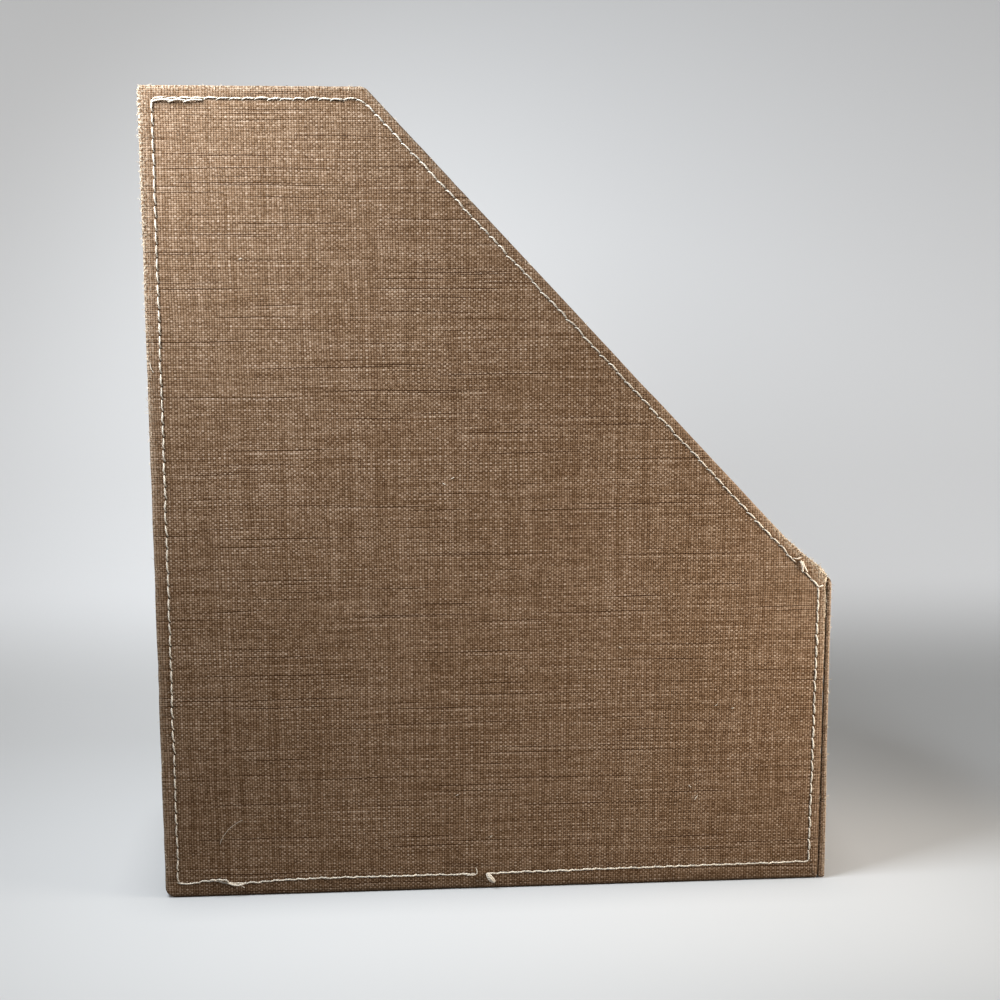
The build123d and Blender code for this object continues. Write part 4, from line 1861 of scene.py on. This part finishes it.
@dataclass
class FileHolder:
    """The whole holder: two side panels, back, low front and base."""

    side_rounds: tuple[float, ...] = (4.0 * MM, 1.5 * MM, 6.0 * MM, 4.0 * MM, 1.5 * MM)
    slope_top_seam_round: float = 5.0 * MM
    near_seam_lift: float = 1.2 * MM
    panel_round: float = 1.5 * MM
    front_top_round: float = 2.5 * MM
    front_lean: float = 1.0 * MM
    front_inner_round: float = 0.9 * MM
    seam_ends_from_back: float = 119.7 * MM
    seam_ends_gap: float = 5.4 * MM

    @staticmethod
    def side_edges(*order: SideEdge) -> tuple[EdgeLook, ...]:
        """Looks of a side panel's edges, in the order given."""
        looks = {
            # Each fold's paleness is wear together with painted light; the bottom fold's value below 0 darkens it as
            # painted contact shade
            SideEdge.BOTTOM: EdgeLook(6.2 * MM, rub=-1.0, loose=0.9, bow=0.2 * MM, slant=0.35),
            SideEdge.FRONT: EdgeLook(3.7 * MM, shift=-0.4 * MM, rub=0.25, loose=0.2),
            SideEdge.SLOPE: EdgeLook(4.0 * MM, rub=0.35, loose=0.3, bow=0.45 * MM),
            SideEdge.TOP: EdgeLook(4.5 * MM, shift=0.45 * MM, rub=0.35, loose=1.0, bow=0.55 * MM),
            SideEdge.BACK: EdgeLook(5.3 * MM, rub=0.7, loose=0.0),
        }
        return tuple(looks[edge] for edge in order)

    @staticmethod
    def near_strands() -> tuple[Strand, ...]:
        """Thread ends, doubled stitches, tufts and flecks on the near side."""
        tail = Strand(((116.5, 5.9, 0.3), (118.6, 6.0, 0.6), (120.0, 6.3, 0.7), (120.5, 7.3, 0.8), (120.0, 9.0, 0.7)))
        knot = (
            Strand(((124.3, 6.3, 0.2), (124.7, 5.0, 0.7), (125.7, 3.7, 0.9), (127.3, 2.9, 0.5)), 1.05 * MM),
            Strand(((124.6, 6.5, 0.3), (125.7, 5.7, 1.0), (126.7, 4.4, 1.0), (127.3, 3.2, 0.5)), 0.95 * MM),
            Strand(((124.5, 6.3, 0.4), (125.2, 5.3, 1.2), (126.2, 4.1, 1.2), (127.1, 3.2, 0.6)), 1.20 * MM),
        )
        hair = Strand(((21.4, 21.4, 0.1), (22.6, 24.2, 0.3), (25.0, 27.4, 0.35), (27.7, 29.5, 0.3), (30.2, 30.8, 0.1)), 0.16 * MM)
        doubled = (
            Strand(((5.2, 299.5, 0.2), (8.4, 300.2, 0.7), (11.8, 299.9, 0.3)), 0.85 * MM),
            Strand(((10.9, 299.4, 0.2), (14.0, 300.2, 0.7), (17.0, 299.9, 0.3)), 0.80 * MM),
            Strand(((16.2, 299.4, 0.2), (19.4, 300.1, 0.7), (23.0, 300.1, 0.3)), 0.75 * MM),
        )
        lumps = (
            Strand(((17.4, 6.8, 0.2), (18.6, 7.3, 0.9), (19.8, 6.5, 0.2)), 0.75 * MM),
            Strand(((19.9, 6.9, 0.2), (21.1, 7.4, 0.9), (22.3, 6.5, 0.2)), 0.75 * MM),
            Strand(((22.3, 6.9, 0.2), (23.5, 7.1, 0.9), (24.4, 5.8, 0.2)), 0.70 * MM),
            Strand(((23.2, 6.1, 0.2), (25.8, 5.1, 0.7), (28.6, 4.8, 0.7), (31.0, 5.6, 0.2)), 0.75 * MM),
            Strand(((28.8, 4.8, 0.3), (29.8, 4.2, 0.8), (30.4, 3.6, 0.5)), 0.30 * MM),
        )
        tufts = (
            Strand(((245.5, 128.8, 0.3), (246.3, 127.1, 1.0), (246.4, 125.0, 0.5)), 0.95 * MM),
            Strand(((246.4, 128.6, 0.3), (247.0, 126.8, 1.1), (248.2, 124.6, 0.4)), 0.60 * MM),
            Strand(((242.7, 130.0, 0.3), (244.2, 129.8, 0.7), (245.6, 130.3, 0.3)), 0.45 * MM),
            Strand(((252.2, 119.0, 0.3), (253.2, 118.8, 0.8), (254.7, 119.2, 0.4)), 0.55 * MM),
            Strand(((1.3, 206.3, 0.0), (1.6, 204.6, 0.4), (2.4, 203.0, 0.2)), 0.30 * MM),
        )
        fleck_spots = (
            (111.9, 162.6, 0.5), (108.6, 160.4, -0.6), (213.8, 72.3, 0.7), (220.5, 70.9, 0.2), (206.6, 35.1, 1.6),
            (204.1, 39.7, -0.9), (112.8, 38.6, 0.6), (126.0, 21.5, 0.8), (35.0, 244.0, 0.4), (176.0, 96.0, -0.5),
        )
        flecks = tuple(
            Strand(((x - 0.5, z - rise / 2, 0.10), (x, z, 0.30), (x + 0.5, z + rise / 2, 0.12)), 0.28 * MM)
            for x, z, rise in fleck_spots
        )
        return (tail, hair, *knot, *doubled, *lumps, *tufts, *flecks)

    def near_side(self) -> PanelShape:
        """Near side panel, whose high edge is at the back."""
        low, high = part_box("near_side_cover")
        width, height = high.x - low.x, high.z - low.z
        corners = ((0, 0), (width, 0), (width, FRONT_EDGE_HEIGHT), (TOP_FLAT, height), (0, height))
        edges = self.side_edges(SideEdge.BOTTOM, SideEdge.FRONT, SideEdge.SLOPE, SideEdge.TOP, SideEdge.BACK)
        seam = move_edges(np.array(corners), [edge.seam_inset for edge in edges])
        seam[1] += (-0.8 * MM, self.near_seam_lift)
        sag_points = (
            (0.0, 0.0), (0.020, -0.38), (0.039, 0.38), (0.059, 0.70), (0.079, -0.90), (0.098, -1.20), (0.118, -0.60),
            (0.138, -0.40), (0.157, -0.10), (0.25, 0.10), (0.36, -0.20), (0.46, -0.40), (0.55, -0.20), (1.0, 0.0),
        )
        bottom_sag = tuple((share, inset * MM) for share, inset in sag_points)
        worn_corner = (width - 2.5 * MM, FRONT_EDGE_HEIGHT + 3.4 * MM)
        return PanelShape(
            name="near_side",
            origin=low,
            across=Vector((1, 0, 0)),
            up=Vector((0, 0, 1)),
            corners=corners,
            rounds=self.side_rounds,
            edges=edges,
            seam_corners=tuple(map(tuple, seam)),
            seam_rounds=(0.0, 0.0, 0.0, self.slope_top_seam_round, 0.0),
            seam_gap=(0, self.seam_ends_from_back, self.seam_ends_gap),
            seam_sag=((0, bottom_sag),),
            # The spot at the worn corner is wear; the wide one at the top of the back edge paints the top-left paler,
            # greyer and with a flatter weave, as painted light
            wear_and_light_spots=(Spot(worn_corner, 40 * MM, 6.0), Spot((0.0, height), 150 * MM)),
            bulges=(Spot(worn_corner, 20 * MM, 2.0 * MM),),
            sunk=(Spot((246.6 * MM, 126.9 * MM), 3.6 * MM),),
            strands=self.near_strands(),
        )

    def far_side(self) -> PanelShape:
        """Far side panel, the near one's mirror image."""
        low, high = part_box("far_side_cover")
        width, height = high.x - low.x, high.z - low.z
        rounds = self.side_rounds
        corners = ((0, 0), (width, 0), (width, height), (width - TOP_FLAT, height), (0, FRONT_EDGE_HEIGHT))
        edges = self.side_edges(SideEdge.BOTTOM, SideEdge.BACK, SideEdge.TOP, SideEdge.SLOPE, SideEdge.FRONT)
        seam = move_edges(np.array(corners), [edge.seam_inset for edge in edges])
        worn_corner = (2.5 * MM, FRONT_EDGE_HEIGHT + 3.4 * MM)
        return PanelShape(
            name="far_side",
            origin=Vector((high.x, high.y, low.z)),
            across=Vector((-1, 0, 0)),
            up=Vector((0, 0, 1)),
            corners=corners,
            rounds=(rounds[1], rounds[0], rounds[4], rounds[3], rounds[2]),
            edges=edges,
            seam_corners=tuple(map(tuple, seam)),
            seam_rounds=(0.0, 0.0, 0.0, self.slope_top_seam_round, 0.0),
            seam_gap=(0, width - self.seam_ends_from_back - self.seam_ends_gap, self.seam_ends_gap),
            wear_and_light_spots=(Spot(worn_corner, 38 * MM, 4.0),),
            bulges=(Spot(worn_corner, 12 * MM, 0.9 * MM),),
            cut_from=(310 * MM, 20 * MM),
        )

    def _rectangle(self, name: str, origin: Vector, across: Vector, up: Vector, stitched: bool, cut: Flat) -> PanelShape:
        """Rectangular panel whose size comes from its cover node.

        Args:
            name: the panel's name.
            origin: its first corner on the outer face.
            across: direction of its first edge.
            up: direction of its second edge.
            stitched: whether it has topstitching.
            cut: where on the bolt its cloth was cut.

        Returns:
            The shape.
        """
        low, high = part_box(f"{name}_cover")
        size = high - low
        width, height = abs(size.dot(across)), abs(size.dot(up))
        corners = ((0, 0), (width, 0), (width, height), (0, height))
        edges = (EdgeLook(),) * len(corners)
        seam = move_edges(np.array(corners), [edge.seam_inset for edge in edges])
        return PanelShape(
            name=name,
            origin=origin,
            across=across,
            up=up,
            corners=corners,
            rounds=(self.panel_round,) * 4,
            edges=edges,
            seam_corners=tuple(map(tuple, seam)),
            seam_rounds=(0.0,) * 4,
            stitched=stitched,
            cut_from=cut,
        )

    def back(self) -> PanelShape:
        """High back panel between the sides."""
        low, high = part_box("back_cover")
        origin = Vector((low.x, high.y, low.z))
        return self._rectangle("back", origin, Vector((0, -1, 0)), Vector((0, 0, 1)), True, (600 * MM, 0.0))

    def front(self) -> PanelShape:
        """Low front panel over the sides' front edges."""
        low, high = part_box("front_cover")
        origin = Vector((high.x, low.y, low.z))
        plain = self._rectangle("front", origin, Vector((0, 1, 0)), Vector((0, 0, 1)), True, (720 * MM, 60 * MM))
        return replace(
            plain,
            rounds=(self.panel_round,) * 2 + (self.front_top_round,) * 2,
            inner_round=self.front_inner_round,
            inner_rub=0.0,
            lean=self.front_lean,
        )

    def base(self) -> PanelShape:
        """Base panel between the others."""
        low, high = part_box("base_cover")
        origin = Vector((low.x, high.y, low.z))
        return self._rectangle("base", origin, Vector((1, 0, 0)), Vector((0, -1, 0)), False, (0.0, 400 * MM))

    def build(self, finishes: Finishes) -> list[bpy.types.Object]:
        """Builds the five panels.

        Args:
            finishes: the holder's finishes.

        Returns:
            Every new piece.
        """
        trees = Trees()
        pieces = []
        for shape in (self.near_side(), self.far_side(), self.back(), self.front(), self.base()):
            pieces += CoveredPanel(shape).build(trees, finishes)
        return pieces


@dataclass(frozen=True)
class Lamp:
    """Square area lamp that faces a target."""

    name: str
    place: Colour
    target: Colour
    power: float
    colour: Colour
    size: float = 0.2
    spread: float = pi
    spared: bpy.types.Collection | None = None

    def build(self) -> bpy.types.Object:
        """Hangs the lamp, whose light neither falls on what is spared nor is stopped by it, and returns it."""
        data = bpy.data.lights.new(self.name, "AREA")
        data.shape = "SQUARE"
        data.size = self.size
        data.energy = self.power
        data.color = self.colour
        data.spread = self.spread
        lamp = bpy.data.objects.new(self.name, data)
        bpy.context.scene.collection.objects.link(lamp)
        aim = (Vector(self.target) - Vector(self.place)).to_track_quat("-Z", "Y")
        lamp.matrix_world = Matrix.Translation(self.place) @ aim.to_matrix().to_4x4()
        lamp.light_linking.receiver_collection = self.spared
        lamp.light_linking.blocker_collection = self.spared
        return lamp


@dataclass
class Studio:
    """Floor and backdrop, lamps and the camera at the photograph's viewing angle."""

    lens_mm: float = 56.49
    camera_place: tuple[float, float, float] = (-43.8 * MM, -632.8 * MM, 245.0 * MM)
    camera_pitch: float = 8.850
    camera_yaw: float = 4.291
    camera_roll: float = -0.066
    wall_distance: float = 0.16
    wall_radius: float = 0.12
    stage_width: float = 6.0
    stage_front: float = 3.0
    stage_back: float = 3.0
    wall_height: float = 1.6

    def build(self) -> list[bpy.types.Object]:
        """Sets everything up.

        Returns:
            The stage, the lamps and the camera.
        """
        scene = bpy.context.scene
        scene.view_settings.view_transform = "Standard"
        stage = self._stage()
        self._world()
        return [stage, *self._lamps(stage), self._camera()]

    def _camera(self) -> bpy.types.Object:
        """Camera whose place and turn were worked out from the photographed panel's corners."""
        data = bpy.data.cameras.new("camera")
        data.sensor_width = 36.0
        data.lens = self.lens_mm
        data.clip_start = 0.01
        camera = bpy.data.objects.new("camera", data)
        bpy.context.scene.collection.objects.link(camera)
        look = Euler((radians(90 - self.camera_pitch), 0.0, radians(-self.camera_yaw))).to_matrix()
        look = look @ Matrix.Rotation(radians(self.camera_roll), 3, "Z")
        camera.matrix_world = Matrix.Translation(self.camera_place) @ look.to_4x4()
        bpy.context.scene.camera = camera
        return camera

    def _stage(self) -> bpy.types.Object:
        """Floor that curves up into the backdrop, and goes on flat behind it."""
        start = self.wall_distance
        profile = [(-self.stage_front, 0.0), (0.0, 0.0), (start, 0.0)]
        for step in range(1, 13):
            angle = step * pi / 24
            profile.append((start + self.wall_radius * sin(angle), self.wall_radius * (1 - cos(angle))))
        profile.append((start + self.wall_radius, self.wall_height))
        half = self.stage_width / 2
        points = [(side * half, y, z) for y, z in profile for side in (-1, 1)]
        faces = [(2 * i, 2 * i + 1, 2 * i + 3, 2 * i + 2) for i in range(len(profile) - 1)]
        points += [(-half, self.stage_back, 0.0), (half, self.stage_back, 0.0)]
        faces.append((4, 5, len(points) - 1, len(points) - 2))
        mesh = bpy.data.meshes.new("studio_floor")
        mesh.from_pydata(points, [], faces)
        mesh.shade_smooth()
        mesh.materials.append(StageFinish("studio_paper").build())
        floor = bpy.data.objects.new("studio_floor", mesh)
        bpy.context.scene.collection.objects.link(floor)
        return floor

    @staticmethod
    def _lamps(stage: bpy.types.Object) -> list[bpy.types.Object]:
        """Soft key lamp at the upper left, a weak warm fill at the lower right and one for the far side alone."""
        spared = bpy.data.collections.new("spared_stage")
        spared.objects.link(stage)
        spared.collection_objects[0].light_linking.link_state = "EXCLUDE"
        plans = (
            Lamp("key", (-0.22, -0.14, 0.43), (-0.06, -0.04, 0.25), 1.78, (0.88, 0.96, 1.06), spread=radians(110)),
            Lamp("fill", (0.27, -0.10, 0.13), (0.09, -0.05, 0.12), 0.67, (1.0, 0.95, 0.88), spread=radians(100)),
            Lamp("back", (-0.45, 0.85, 0.55), (0.0, 0.0, 0.12), 9.0, (0.96, 0.98, 1.0), size=0.5, spared=spared),
        )
        return [plan.build() for plan in plans]

    @staticmethod
    def _world() -> None:
        """Even dim light from all round, which looks pale to the camera."""
        world = bpy.data.worlds.new("studio_light")
        bpy.context.scene.world = world
        world.use_nodes = True
        w = Wiring(world.node_tree)
        background = world.node_tree.nodes["Background"]
        background.inputs["Color"].default_value = (0.94, 0.97, 1.0, 1.0)
        seen = w.add("ShaderNodeLightPath").outputs["Is Camera Ray"]
        w.feed(background.inputs["Strength"], w.blend(0.12, 0.62, seen))


def main() -> None:
    """Builds the studio and the holder, and reports each piece."""
    logging.basicConfig(level=logging.INFO, format="%(name)s: %(message)s")
    for made in Studio().build():
        LOG.info("studio: %s", made.name)
    finishes = Finishes.build()
    for piece in FileHolder().build(finishes):
        LOG.info("piece: %s, %d faces", piece.name, len(piece.data.polygons))


if __name__ == "__main__":
    main()
